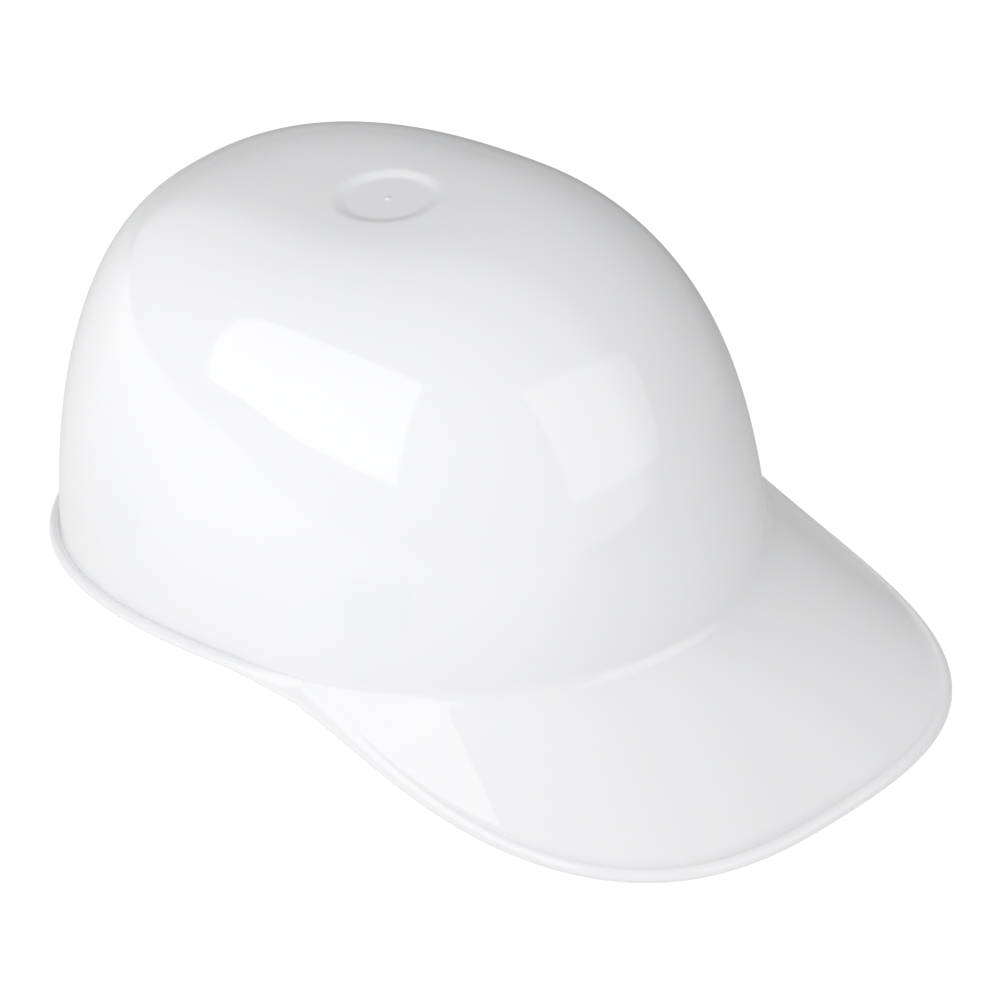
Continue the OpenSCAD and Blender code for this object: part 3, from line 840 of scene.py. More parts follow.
    def step_rows(self, a, count, inset=0.0):
        """The soft shoulder between the recess floor and the crown."""
        s = self.s
        rows = []
        for t in np.linspace(0, 1, count):
            q = s.recess_radius + s.recess_soft * (t - self.soft_middle)
            w = t * t * (3 - 2 * t)
            floor = self.flat_point(a, q, s.height - s.recess_depth - inset)
            rows.append(floor * (1 - w) + self.crown_point(a, self.up_at(a, q, inset), inset) * w)
        return rows

    def columns(self, a):
        """Points from the top down the outside, round the edge and up the inside, per bearing."""
        s = self.s
        edge = self.edge_radius(a)
        r = self.base_radius(a)
        width = edge - r
        up0 = np.minimum(s.crease, self.crease_share * width + 1.2 * MM) / s.height
        r0 = r + np.minimum(s.crease, self.crease_share * width + 0.1 * MM)
        r1 = np.maximum(edge - self.bead_width, r0 + self.least_gap)
        floor = s.height - s.recess_depth
        recess_edge = s.recess_radius + s.recess_soft * (1 - self.soft_middle)
        rows = [self.flat_point(a, q * MM, floor + z * MM) for q, z in self.nub]
        rows += self.step_rows(a, 12)
        rows += self.crown_rows(a, self.up_at(a, recess_edge), up0, 60)[1:]
        first = self.crown_point(a, up0)
        corner = self.crown_point(a, 0 * a)
        last = self.bill_point(a, r0, edge)
        for t in np.linspace(0, 1, 10)[1:]:
            rows.append((1 - t) ** 2 * first + 2 * t * (1 - t) * corner + t * t * last)
        for t in np.linspace(0, 1, 18)[1:-1]:
            rows.append(self.bill_point(a, r0 + (r1 - r0) * t, edge))
        for k, z in catmull(self.bead, 4):
            rows.append(self.bill_point(a, np.maximum(edge + k * MM, r0 + self.least_gap), edge, z * MM))
        for t in np.linspace(1, 0.1, 12)[1:]:
            rows.append(self.bill_point(a, r + (r1 - r) * t, edge, self.under_bill))
        rows.append(self.bill_point(a, r - s.wall + self.wall_join, edge, self.under_flange))
        top = self.up_at(a, recess_edge, s.wall)
        rows += self.crown_rows(a, 0 * a + self.wall_start, top, 44, s.wall)
        rows += self.step_rows(a, 7, s.wall)[::-1][1:]
        rows += [self.flat_point(a, q * MM, floor - s.wall) for q in (10, 6, 3)]
        return np.stack(rows, 1)

    def heading(self, a):
        """Which way the crown's base faces at a bearing."""
        step = math.radians(1)
        ends = []
        for t in (a - step, a + step):
            ends.append(self.base_radius(np.array(t)) * np.array((math.sin(t), -math.cos(t))))
        way = ends[1] - ends[0]
        return math.atan2(way[1], way[0]) - math.pi / 2

    def up_for(self, a, z):
        return (z - self.base_level(a)) / (self.s.height - self.base_level(a))

    def socket_frame(self, bearing, reach=8 * MM):
        """X points out through the wall at a socket's middle; it leans as the wall does over its reach."""
        a = np.array(bearing)
        turn = self.heading(bearing)
        low = self.crown_point(a, self.up_for(a, SOCKET_LEVEL - reach))
        high = self.crown_point(a, self.up_for(a, SOCKET_LEVEL + reach))
        out = (low - high) @ np.array((math.cos(turn), math.sin(turn), 0))
        lean = math.atan2(out, high[2] - low[2])
        place = self.crown_point(a, self.up_for(a, SOCKET_LEVEL))
        return (Matrix.Translation(Vector(place)) @ Matrix.Rotation(turn, 4, "Z")
                @ Matrix.Rotation(-lean, 4, "Y"))


def socket_mesh(matrix, steps=10):
    """One moulded socket: a rounded block with a slot right through it, as points and faces.

    Its sizes are in millimetres, and X is how far a face lies from the shell's outside.
    """
    back, front, half, tall, block_corner = -6.5, -1.3, 11.0, 7.0, 1.3
    slot_back, slot_front, slot_half, slot_corner = -5.3, -3.0, 7.3, 0.25
    middle = (slot_back + slot_front) / 2

    def outline(low, high, reach, corner):
        line = []
        corners = ((high, reach, 0), (low, reach, 90), (low, -reach, 180), (high, -reach, 270))
        for x, y, turn in corners:
            cx = x - math.copysign(corner, x - middle)
            cy = y - math.copysign(corner, y)
            for i in range(steps):
                t = math.radians(turn + 90 * i / (steps - 1))
                line.append((cx + corner * math.cos(t), cy + corner * math.sin(t)))
        return line

    outside = ((0.9, 0.0), (0.3, 0.25), (0.0, 0.9))
    mouth = ((0.45, 0.0), (0.1, 0.35), (0.0, 0.9))
    rings = []
    for inset, z in [(i, d - tall) for i, d in outside] + [(i, tall - d) for i, d in outside[::-1]]:
        rings.append((outline(back + inset, front, half - inset, block_corner), z))
    for grow, z in [(g, tall - d) for g, d in mouth] + [(g, d - tall) for g, d in mouth[::-1]]:
        rings.append((outline(slot_back - grow, slot_front + grow, slot_half + grow, slot_corner), z))
    count = 4 * steps
    points = []
    for i in range(count):
        for line, z in rings:
            x, y = line[i]
            points.append(matrix @ Vector((x * MM, y * MM, z * MM)))
    return points, grid_faces(count, len(rings), closed_rows=True)


class BUMPCAP_OT_shell(bpy.types.Operator):
    """Builds the moulded shell with its bill, edge bead, top recess and key sockets"""

    bl_idname = "bumpcap.shell"
    bl_label = "Shell"

    def execute(self, context):
        s = settings().shell
        shape = ShellShape(s)
        a = np.arange(s.columns) * 2 * math.pi / s.columns
        grid = shape.columns(a)
        rows = grid.shape[1]
        points = [tuple(p) for p in grid.reshape(-1, 3)]
        faces = grid_faces(s.columns, rows)
        floor = s.height - s.recess_depth
        for z, k in ((floor + shape.nub_height, 0), (floor - s.wall, rows - 1)):
            tip = len(points)
            points.append((0, s.setback, z))
            for i in range(s.columns):
                faces.append((tip, i * rows + k, (i + 1) % s.columns * rows + k))
        for _, side in SIDES:
            for bearing in SOCKET_BEARINGS:
                more, walls = socket_mesh(side_matrix(side) @ shape.socket_frame(bearing))
                faces += [tuple(len(points) + k for k in face) for face in walls]
                points += [tuple(p) for p in more]
        piece = new_piece("shell_moulding", points, faces, rest_matrix(), weld=0.03 * MM)
        smooth(piece, 50.0)
        finish_piece(piece, "cap", "shell_plastic", ["shell"])
        return {"FINISHED"}


# ---- keys and buttons ----
KEYS = ("key_front_left", "key_front_right", "key_rear_left", "key_rear_right")


class BUMPCAP_OT_keys(bpy.types.Operator):
    """Builds the four hanger keys with rounded edges"""

    bl_idname = "bumpcap.keys"
    bl_label = "Hanger keys"

    def execute(self, context):
        for key in KEYS:
            piece = rounded_copy(key, "hanger_" + key, settings().suspension.edge)
            finish_piece(piece, "cap", "key_plastic", [key])
        return {"FINISHED"}


HEIGHT_BUTTON = ((-3.7, 0), (-3.7, 2.6), (-3.62, 3.2), (-3.35, 3.9), (-2.95, 4.3), (-2.5, 4.4), (-2.25, 4.35),
                 (-2.2, 4.2), (-2.2, 2.5), (2.75, 2.5), (2.75, 3.8), (2.85, 3.97), (3.1, 4.0), (3.6, 3.95),
                 (3.88, 3.75), (4.0, 3.4), (4.0, 2.4), (3.92, 2.2), (3.55, 1.95), (3.5, 1.7), (3.5, 0))
SIZE_BUTTON = ((72.6, 0), (72.6, 2.2), (72.8, 2.4), (76.45, 2.4), (76.45, 3.8), (76.55, 3.97), (76.8, 4.0),
               (77.8, 4.0), (78.1, 3.9), (78.3, 3.6), (78.3, 3.15), (78.4, 3.0), (78.9, 3.0), (79.04, 2.9),
               (79.1, 2.7), (79.1, 1.6), (79.0, 1.4), (78.75, 1.2), (78.7, 0))
PUSH_STUD = ((-0.3, 0), (-0.3, 1.7), (1.9, 1.7), (1.9, 3.0), (2.0, 3.18), (2.15, 3.2), (2.5, 3.1), (2.75, 2.7),
             (2.88, 2.0), (2.9, 1.2), (2.9, 0))
STRAP_RIVET = ((-3.4, 0), (-3.4, 3.6), (-3.3, 4.8), (-3.0, 5.6), (-2.6, 5.95), (-2.2, 6.0), (-2.1, 5.8),
               (-2.1, 2.4), (3.2, 2.4), (3.2, 5.8), (3.3, 6.0), (3.7, 5.95), (4.1, 5.6), (4.4, 4.8), (4.5, 3.6),
               (4.5, 0))


class BUMPCAP_OT_buttons(bpy.types.Operator):
    """Turns the height buttons, size buttons, push studs and strap rivet"""

    bl_idname = "bumpcap.buttons"
    bl_label = "Buttons and studs"

    def execute(self, context):
        rest = rest_matrix()

        def turned(name, profile, places, body, cad, segments=48):
            piece = lathe(name, profile, places, segments)
            finish_piece(piece, body, "stud_plastic", [cad])

        for label, front in (("front", True), ("rear", False)):
            for name, side in SIDES:
                raised = plate_frame(front) @ Matrix.Translation((0, 0, STUD_LEVEL))
                place = rest @ side_matrix(side) @ raised
                cad = f"height_button_{label}_{name}"
                turned("snap_" + cad, HEIGHT_BUTTON, [place], "cap", cad)
        for name, side in SIDES:
            place = rest @ side_matrix(side) @ Matrix.Translation((0, BUTTON_PLACE, BUTTON_LEVEL))
            cad = f"size_button_{name}"
            turned("snap_" + cad, SIZE_BUTTON, [place], cad, cad)
        studs = (
            ("sweatband_push_studs", "headband", "sweatband_studs", band_stud_frame, BAND_STUD_TURNS),
            ("nape_push_studs", "nape", "nape_pad_studs", nape_stud_frame, NAPE_STUD_TURNS),
        )
        for name, body, cad, frame_at, turns in studs:
            turned(name, PUSH_STUD, [rest @ frame_at(t) for t in turns], body, cad, 32)
        middle = Vector((0, strap_cross(), settings().suspension.strap_top - RIVET_DROP))
        place = rest @ Matrix.Translation(middle) @ UPRIGHT
        turned("snap_strap_rivet", STRAP_RIVET, [place], "cap", "strap_rivet")
        return {"FINISHED"}


class BUMPCAP_OT_bands(bpy.types.Operator):
    """Builds the headband and nape strap with rounded edges"""

    bl_idname = "bumpcap.bands"
    bl_label = "Bands"

    def execute(self, context):
        bands = (("headband", "headband_strip", "headband"), ("nape_strap", "nape_strip", "nape"))
        for cad, name, body in bands:
            piece = rounded_copy(cad, name, settings().suspension.edge)
            finish_piece(piece, body, "band_plastic", [cad])
        return {"FINISHED"}


# ---- crown straps ----
def strap_ends():
    """Plan places of a strap's ends: at a front key and at a rear key, on the wearer's left."""
    out = PLATE_GAP + PLATE_THICKNESS / 2
    return [plate_frame(front) @ Vector((out, 0, 0)) for front in (True, False)]


def strap_span():
    front, rear = strap_ends()
    return Vector((rear.x + front.x, rear.y - front.y, 0))


def strap_cross():
    """Where the two straps cross, behind the crown's widest point."""
    front, rear = strap_ends()
    span = strap_span()
    return front.y + span.y * front.x / span.x


def eased(t):
    t = min(1.0, max(0.0, t))
    return t * t * (3 - 2 * t)


def strap_line(top):
    """Centre line from the front-right key over the head to the rear-left key.

    Each entry is (middle of the strap, direction across its width).
    """
    s = settings().suspension
    front, rear = strap_ends()
    span = strap_span()
    half = span.length / 2
    plan = math.atan2(span.y, span.x)
    thick = s.strap_thickness
    low = PLATE_LEVEL + PLATE_HEIGHT
    bar = low - KEY_BAR
    gap = PLATE_THICKNESS / 2 + STRAP_PLAY + thick / 2
    lapped = thick + 0.1 * MM
    rise = top - thick / 2 - low
    turn_end, lap_start, lap_end = 0.36, 0.47, 0.16
    turns = np.linspace(turn_end, math.pi - turn_end, 90)
    main = [(half * math.cos(t), low + rise * math.sin(t)) for t in turns]

    def end_loop():
        """From the sewn tip, down outside the bar, under it, and up inside, as (outwards, height)."""
        beyond = []
        for t in np.linspace(lap_start, lap_end, 12):
            beyond.append((half * (math.cos(t) - 1) + lapped * math.cos(t),
                           low + rise * math.sin(t) + lapped * math.sin(t)))
        line = beyond + [(gap, low - 0.6 * MM), (gap, bar + 0.4 * MM)]
        for t in np.linspace(0, math.pi, 9):
            line.append((gap * math.cos(t), bar - (gap - 0.6 * MM) * math.sin(t)))
        line += [(-gap, bar + 0.6 * MM), (-gap, low - 0.4 * MM)]
        for t in np.linspace(0.14, turn_end, 5):
            line.append((half * (math.cos(t) - 1), low + rise * math.sin(t)))
        return catmull(line, 3)[:-1]

    key_way = plate_frame(True).col[0]
    key_headings = (-math.atan2(key_way.y, key_way.x), 0.0)
    loop = end_loop()
    line = []
    crossed_front = Vector((-front.x, front.y, 0))
    for end, place, own in zip((0, 1), (crossed_front, rear), key_headings):
        part = []
        for out, z in loop:
            share = eased((z - low) / STRAP_TWIST)
            turn = own + (plan - own) * share
            way = Vector((math.cos(turn), math.sin(turn), 0)) * (1 if end else -1)
            across = Vector((-math.sin(turn), math.cos(turn), 0))
            part.append((place + way * out + Vector((0, 0, z)), across))
        line.append(part)
    middle = (crossed_front + rear) / 2
    across = Vector((-math.sin(plan), math.cos(plan), 0))
    way = Vector((math.cos(plan), math.sin(plan), 0))
    crown = [(middle - way * x + Vector((0, 0, z)), across) for x, z in main]
    return line[0] + crown + line[1][::-1]


def ribbon(name, line, width, thickness, matrix):
    """A flat strap along a line, with soft edges and a UV map in metres."""
    places = np.array([p for p, _ in line])
    across = np.array([a for _, a in line])
    ways = np.gradient(places, axis=0)
    ways /= np.linalg.norm(ways, axis=1)[:, None]
    faces_out = np.cross(ways, across)
    faces_out /= np.linalg.norm(faces_out, axis=1)[:, None]
    run = path_length(places)
    half = width / 2
    thin = thickness / 2
    section = [(x * half, thin * (1.0 if abs(x) < 0.9 else 0.78)) for x in np.linspace(-0.97, 0.97, 13)]
    loop = section + [(half, thin * 0.3), (half, -thin * 0.3)] + [(x, -y) for x, y in section[::-1]]
    loop += [(-half, -thin * 0.3), (-half, thin * 0.3)]
    count = len(loop)
    points = []
    for p, a, n in zip(places, across, faces_out):
        points += [tuple(p + a * x + n * y) for x, y in loop]
    piece = new_piece(name, points, sweep_faces(len(line), count), matrix)
    uv = piece.data.uv_layers.new(name="fabric")
    sideways = [x for x, _ in loop]
    for corner in piece.data.loops:
        k, i = divmod(corner.vertex_index, count)
        uv.data[corner.index].uv = (sideways[i], run[k])
    smooth(piece, 60.0)
    return piece


def new_geometry_tree(name, floats):
    """Geometry nodes that turn a mesh into copies of a shape in one material."""
    mesh = ("Geometry", "NodeSocketGeometry")
    inputs = ([mesh], [("Material", "NodeSocketMaterial")])
    return new_tree(name, "GeometryNodeTree", inputs, floats, [mesh])


def end_tree(tree, source, sink, placed):
    """Makes the placed copies real and gives them their material."""
    real = node(tree, "GeometryNodeRealizeInstances", {0: placed.outputs[0]})
    finish = node(tree, "GeometryNodeSetMaterial", {0: real.outputs[0], "Material": source["Material"]})
    tree.links.new(finish.outputs[0], sink[0])
    return tree


def stitch_tree():
    """Geometry nodes that sew rounded stitches along the edges of a mesh line."""
    sizes = {"Spacing": 3.0 * MM, "Stitch": 2.2 * MM, "Thread": 0.3 * MM}
    tree, source, sink = new_geometry_tree("Stitches", sizes)
    curve = node(tree, "GeometryNodeMeshToCurve", {"Mesh": source["Geometry"]})
    lengths = {"Curve": curve.outputs[0], "Length": source["Spacing"]}
    spaced = node(tree, "GeometryNodeResampleCurve", lengths, mode="LENGTH")
    tangent = node(tree, "GeometryNodeInputTangent")
    turn = node(tree, "FunctionNodeAlignRotationToVector", {"Vector": tangent.outputs[0]}, axis="X")
    ball = node(tree, "GeometryNodeMeshUVSphere", {"Segments": 8, "Rings": 6, "Radius": 1.0})
    size = node(tree, "ShaderNodeCombineXYZ", {0: math_node(tree, "MULTIPLY", source["Stitch"], 0.5),
                                               1: source["Thread"], 2: source["Thread"]})
    placed = node(tree, "GeometryNodeInstanceOnPoints",
                  {"Points": spaced.outputs[0], "Instance": ball.outputs[0], "Rotation": turn.outputs[0],
                   "Scale": size.outputs[0]})
    return end_tree(tree, source, sink, placed)


def hole_tree():
    """Geometry nodes that set a near black disc, painted shade for a punched hole, on each point, facing along
    its stored direction.
    """
    tree, source, sink = new_geometry_tree("Perforations", {"Radius": 0.5 * MM, "Depth": 0.3 * MM})
    facing = node(tree, "GeometryNodeInputNamedAttribute", {"Name": "facing"}, data_type="FLOAT_VECTOR")
    turn = node(tree, "FunctionNodeAlignRotationToVector", {"Vector": facing.outputs[0]}, axis="Z")
    disc = node(tree, "GeometryNodeMeshCylinder", {"Vertices": 10, "Side Segments": 1,
                                                   "Radius": source["Radius"], "Depth": source["Depth"]})
    placed = node(tree, "GeometryNodeInstanceOnPoints",
                  {"Points": source["Geometry"], "Instance": disc.outputs[0], "Rotation": turn.outputs[0]})
    return end_tree(tree, source, sink, placed)


def with_nodes(name, mesh, tree, values):
    """A plain mesh made from a mesh by a geometry nodes tree."""
    carrier = bpy.data.objects.new(name, mesh)
    bpy.context.scene.collection.objects.link(carrier)
    modifier = carrier.modifiers.new("nodes", "NODES")
    modifier.node_group = tree
    names = {item.name: item.identifier for item in tree.interface.items_tree if item.in_out == "INPUT"}
    for label, value in values.items():
        modifier[names[label]] = value
    return fixed(carrier)


def stitches(name, lines, matrix):
    """Rows of stitches along lines of points in the upright frame."""
    s = settings().suspension
    mesh = bpy.data.meshes.new(name)
    points = []
    edges = []
    for line in lines:
        start = len(points)
        points += [tuple(matrix @ Vector(p)) for p in line]
        edges += [(start + i, start + i + 1) for i in range(len(line) - 1)]
    mesh.from_pydata(points, edges, [])
    piece = with_nodes(
        name, mesh, once(stitch_tree),
        {"Spacing": s.stitch * STITCH_SPACING, "Stitch": s.stitch, "Thread": s.thread,
         "Material": material("light_thread")},
    )
    smooth(piece)
    return piece


def holes(name, places, matrix):
    """Perforations at (point, direction) pairs in the upright frame."""
    s = settings().pads
    mesh = bpy.data.meshes.new(name)
    mesh.from_pydata([tuple(matrix @ Vector(p)) for p, _ in places], [], [])
    facing = mesh.attributes.new("facing", "FLOAT_VECTOR", "POINT")
    turn = matrix.to_3x3()
    facing.data.foreach_set("vector", [c for _, n in places for c in (turn @ Vector(n)).normalized()])
    # The holes are near black discs: painted shade, not open holes.
    values = {"Radius": s.hole, "Depth": HOLE_DEPTH, "Material": material("perforation_painted_shade")}
    return with_nodes(name, mesh, once(hole_tree), values)


class BUMPCAP_OT_straps(bpy.types.Operator):
    """Weaves the two crown straps, looped round the keys' bars and sewn"""

    bl_idname = "bumpcap.straps"
    bl_label = "Crown straps"

    def execute(self, context):
        s = settings().suspension
        rest = rest_matrix()
        sewn = []
        upper_top = s.strap_top + s.strap_thickness + STRAP_RISE
        for name, side, top in (("lower", 1, s.strap_top), ("upper", -1, upper_top)):
            line = strap_line(top)
            matrix = rest @ side_matrix(side)
            piece = ribbon(f"strap_webbing_{name}", line, s.strap_width, s.strap_thickness, matrix)
            finish_piece(piece, "cap", "webbing", [f"strap_{name}"])
            places = np.array([p for p, _ in line])
            across = np.array([a for _, a in line])
            ways = np.gradient(places, axis=0)
            out = np.cross(ways, across)
            out /= np.linalg.norm(out, axis=1)[:, None]
            for span in (slice(2, 30), slice(-30, -2)):
                for shift in (-0.38, 0.38):
                    row = places[span] + across[span] * s.strap_width * shift
                    for lift in (1, -1):
                        line_points = row + out[span] * lift * s.strap_thickness * 0.52
                        sewn.append([side_matrix(side) @ Vector(p) for p in line_points])
        piece = stitches("strap_stitches", sewn, rest)
        finish_piece(piece, "cap", "webbing", painted=False)
        return {"FINISHED"}


# ---- pads ----
def plump(piece, held):
    """Swells a closed pad like cloth round foam; points where held is true stay sewn down."""
    s = settings().pads
    count = len(piece.data.vertices)
    start = np.zeros(count * 3)
    piece.data.vertices.foreach_get("co", start)
    start = start.reshape(-1, 3)
    sewn = piece.vertex_groups.new(name="sewn")
    sewn.add([int(i) for i in np.nonzero([held(p) for p in start])[0]], 1.0, "REPLACE")
    cloth = piece.modifiers.new("cloth", "CLOTH")
    cloth.settings.quality = 4
    cloth.settings.mass = 0.002
    cloth.settings.use_pressure = True
    cloth.settings.uniform_pressure_force = 4.0
    cloth.settings.vertex_group_mass = "sewn"
    cloth.settings.effector_weights.gravity = 0.0
    cloth.collision_settings.use_collision = False
    scene = bpy.context.scene
    for step in range(1, CLOTH_STEPS + 1):
        scene.frame_set(step)
    done = piece.evaluated_get(bpy.context.evaluated_depsgraph_get())
    after = np.array([v.co for v in done.data.vertices])
    move = after - start
    far = np.linalg.norm(move, axis=1)[:, None]
    start = start + move * np.minimum(1, s.swell / np.maximum(far, 1e-9))
    piece.modifiers.clear()
    piece.vertex_groups.clear()
    scene.frame_set(1)
    piece.data.vertices.foreach_set("co", start.ravel())
    finer = piece.modifiers.new("finer", "SUBSURF")
    finer.levels = 1
    finer.render_levels = 1
    fixed(piece)
    smooth(piece)
    return piece


def swept_pad(name, places, outs, section, matrix):
    """A pad of one section along a plan line; section is (inwards, height) in metres."""
    points = []
    for p, n in zip(places, outs):
        points += [(p[0] - n[0] * d, p[1] - n[1] * d, z) for d, z in section]
    return new_piece(name, points, sweep_faces(len(places), len(section)), matrix)


def pad_section(thick, low, high, hem, step=1.25 * MM):
    """Flat outside, crowned inside between two thin sewn hems; points about one step apart."""
    back, hem_front, corner = 0.2 * MM, 1.4 * MM, 0.7 * MM
    tip = (back + hem_front) / 2
    count = round((high - low) / step)
    outside = [(back, low + corner + (high - low - 2 * corner) * i / count) for i in range(count + 1)]
    inside = []
    for i in range(count + 1):
        z = high - corner + (low - high + 2 * corner) * i / count
        share = min(1.0, max(0.0, (z - low - hem) / (high - low - 2 * hem)))
        inside.append((hem_front + (thick - hem_front) * math.sin(math.pi * share) ** 0.5, z))
    return outside + [(tip, high)] + inside + [(tip, low)]


def ellipse_line(half, long, centre, angles, ahead):
    """Points on a plan ellipse and their outward directions."""
    places = []
    outs = []
    for t in angles:
        places.append((half * math.sin(t), centre - ahead * long * math.cos(t)))
        out = Vector((math.sin(t) / half, -ahead * math.cos(t) / long)).normalized()
        outs.append((out.x, out.y))
    return places, outs


class BUMPCAP_OT_pads(bpy.types.Operator):
    """Builds the sweatband, nape pad and crown pad as swollen, sewn pads"""

    bl_idname = "bumpcap.pads"
    bl_label = "Pads"

    def strip_pad(self, name, cad, body, line, low, high, thick, hem, seam):
        """A perforated strip pad along a plan line, sewn a seam's width inside each edge."""
        s = settings().pads
        rest = rest_matrix()
        back = rest.inverted()
        places, outs = line
        piece = swept_pad(name, places, outs, pad_section(thick, low, high, hem), rest)

        def held(p):
            z = (back @ Vector(p)).z
            return z < low + hem or z > high - hem

        plump(piece, held)
        finish_piece(piece, body, "sweatband_vinyl", [cad])
        tree = bvh(piece)
        seams = []
        for z in (low + seam, high - seam):
            seams.append([on_surface(tree, rest, p, n, z) for p, n in zip(places, outs)])
        sewn = stitches(name + "_stitches", seams, Matrix.Identity(4))
        finish_piece(sewn, body, "sweatband_vinyl", painted=False)
        run = path_length(np.array(places))
        spots = []
        row_pitch = s.pitch * 0.87
        end_margin = 8.0 * MM
        rows = np.arange(low + hem + 2.0 * MM, high - hem - 1.5 * MM, row_pitch)
        for k, z in enumerate(rows):
            for d in np.arange(end_margin + (k % 2) * s.pitch / 2, run[-1] - end_margin, s.pitch):
                p = [np.interp(d, run, [q[i] for q in places]) for i in (0, 1)]
                n = [np.interp(d, run, [q[i] for q in outs]) for i in (0, 1)]
                spot = on_surface(tree, rest, p, n, float(z), sunk=0.12 * MM)
                spots.append((spot, rest.to_3x3() @ Vector((-n[0], -n[1], 0))))
        punched = holes(name + "_perforations", spots, Matrix.Identity(4))
        finish_piece(punched, body, "sweatband_vinyl", painted=False)

    def execute(self, context):
        play = 0.4 * MM
        half, front = BAND_HALF_WIDTH - play, BAND_FRONT - play
        reach = math.acos((BAND_CENTRE + 18.6 * MM) / front)
        line = ellipse_line(half, front, BAND_CENTRE, np.linspace(-reach, reach, 140), 1)
        self.strip_pad(
            "sweatband_cushion", "sweatband", "headband", line,
            low=BAND_LEVEL - 4.3 * MM, high=BAND_LEVEL + 18.8 * MM,
            thick=3.5 * MM, hem=2.6 * MM, seam=1.5 * MM,
        )
        nape_half = NAPE_HALF - STRIP - play
        nape_rear = NAPE_REAR - STRIP - play - NAPE_CURVE_START
        reach = math.asin(45.2 * MM / nape_half)
        line = ellipse_line(nape_half, nape_rear, NAPE_CURVE_START, np.linspace(reach, -reach, 90), -1)
        level = BUTTON_LEVEL - NAPE_HEIGHT / 2
        proud = 1.4 * MM
        self.strip_pad(
            "nape_cushion", "nape_pad", "nape", line,
            low=level - proud, high=level + NAPE_HEIGHT + proud,
            thick=2.9 * MM, hem=2.2 * MM, seam=1.3 * MM,
        )
        self.crown_cushion()
        return {"FINISHED"}

    def crown_cushion(self):
        """The round pad under the crossing straps, quilted with one sewn ring and bound at its edge."""
        quilt, quilt_width, sewn_edge = 24.0 * MM, 0.6 * MM, 31.2 * MM
        rest = rest_matrix()
        back = rest.inverted()
        low = settings().suspension.strap_top - 10.9 * MM
        middle = Matrix.Translation((0, strap_cross(), low))
        lower = [(0, 0.35), (8, 0.35), (16, 0.4), (21, 0.8), (23.3, 1.7), (24, 2.0), (24.7, 1.7), (27, 0.9),
                 (30, 1.3), (31.6, 2.2), (32.3, 2.9)]
        upper = [(31.6, 3.6), (30, 4.3), (27, 4.5), (24.7, 3.9), (24, 3.6), (23.3, 4.1), (21, 5.0), (16, 5.5),
                 (8, 5.6), (0, 5.6)]
        turned = [(z, max(r, 0)) for r, z in catmull(lower + upper, 3)]
        turned[0], turned[-1] = (turned[0][0], 0), (turned[-1][0], 0)
        matrix = rest @ middle @ UPRIGHT
        piece = lathe("crown_cushion", turned, [matrix], segments=96)

        def held(p):
            q = middle.inverted() @ back @ Vector(p)
            away = math.hypot(q.x, q.y)
            return away > sewn_edge or abs(away - quilt) < quilt_width

        plump(piece, held)
        finish_piece(piece, "cap", "pad_fabric", ["crown_pad"])
        tree = bvh(piece)
        angles = np.linspace(0, 2 * math.pi, 97)
        rings = []
        for up in (1, -1):
            way = rest.to_3x3() @ Vector((0, 0, -up))
            ring = []
            for t in angles:
                start = rest @ middle @ Vector((quilt * math.cos(t), quilt * math.sin(t), up * 20.0 * MM))
                spot = tree.ray_cast(start, way)[0]
                ring.append(spot if spot else start)
            rings.append(ring)
        sewn = stitches("crown_cushion_stitches", rings, Matrix.Identity(4))
        finish_piece(sewn, "cap", "pad_fabric", painted=False)
        welt = piping(
            "crown_cushion_binding", rest @ middle, radius=32.0 * MM, level=2.9 * MM, thick=0.9 * MM
        )
        finish_piece(welt, "cap", "webbing")


def bvh(piece):
    """The piece's surface, for finding where seams and holes lie on it."""
    return BVHTree.FromObject(piece, bpy.context.evaluated_depsgraph_get())


def on_surface(tree, rest, place, out, z, sunk=0.0):
    """The pad's surface point facing the head at a plan place and height."""
    ahead, skin = 12.0 * MM, 1.0 * MM
    start = rest @ Vector((place[0] - out[0] * ahead, place[1] - out[1] * ahead, z))
    way = rest.to_3x3() @ Vector((out[0], out[1], 0))
    spot = tree.ray_cast(start, way)[0]
    if spot is None:
        spot = rest @ Vector((place[0] - out[0] * skin, place[1] - out[1] * skin, z))
    return spot + way * sunk


def piping(name, matrix, radius, level, thick):
    """A round bound edge with a UV map for its weave."""
    around, section, tall = 144, 12, 1.4
    points = []
    for i in range(around):
        t = 2 * math.pi * i / around
        for k in range(section):
            u = 2 * math.pi * k / section
            q = radius + thick * math.cos(u)
            z = level + tall * thick * math.sin(u)
            points.append(matrix @ Vector((q * math.cos(t), q * math.sin(t), z)))
    piece = new_piece(name, points, grid_faces(around, section, closed_rows=True))
    uv = piece.data.uv_layers.new(name="fabric")
    for face in piece.data.polygons:
        indices = [piece.data.loops[k].vertex_index for k in face.loop_indices]
        wraps = max(i // section for i in indices) - min(i // section for i in indices) > 1
        rolls = max(i % section for i in indices) - min(i % section for i in indices) > 1
        for k in face.loop_indices:
            i, m = divmod(piece.data.loops[k].vertex_index, section)
            i = around if wraps and i == 0 else i
            m = section if rolls and m == 0 else m
            uv.data[k].uv = (m * 2 * math.pi * thick / section, i * 2 * math.pi * radius / around)
    smooth(piece)
    return piece


# ---- stage ----
def direction(azimuth, elevation):
    """Azimuth 0 looks from ahead of the bill, 90 from the wearer's left."""
    a, e = math.radians(azimuth), math.radians(elevation)
    return Vector((math.sin(a) * math.cos(e), -math.cos(a) * math.cos(e), math.sin(e)))


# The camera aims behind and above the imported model's middle, then shifts right and up in its view.
FOCUS_SHIFT = (-17.88 * MM, 6.825 * MM)
FRAMING_SHIFT = (-6.543 * MM, -20.564 * MM)


def camera_frame(azimuth, elevation):
    a = math.radians(azimuth)
    back = direction(azimuth, elevation)
    right = Vector((math.cos(a), math.sin(a), 0))
    return right, back.cross(right), back


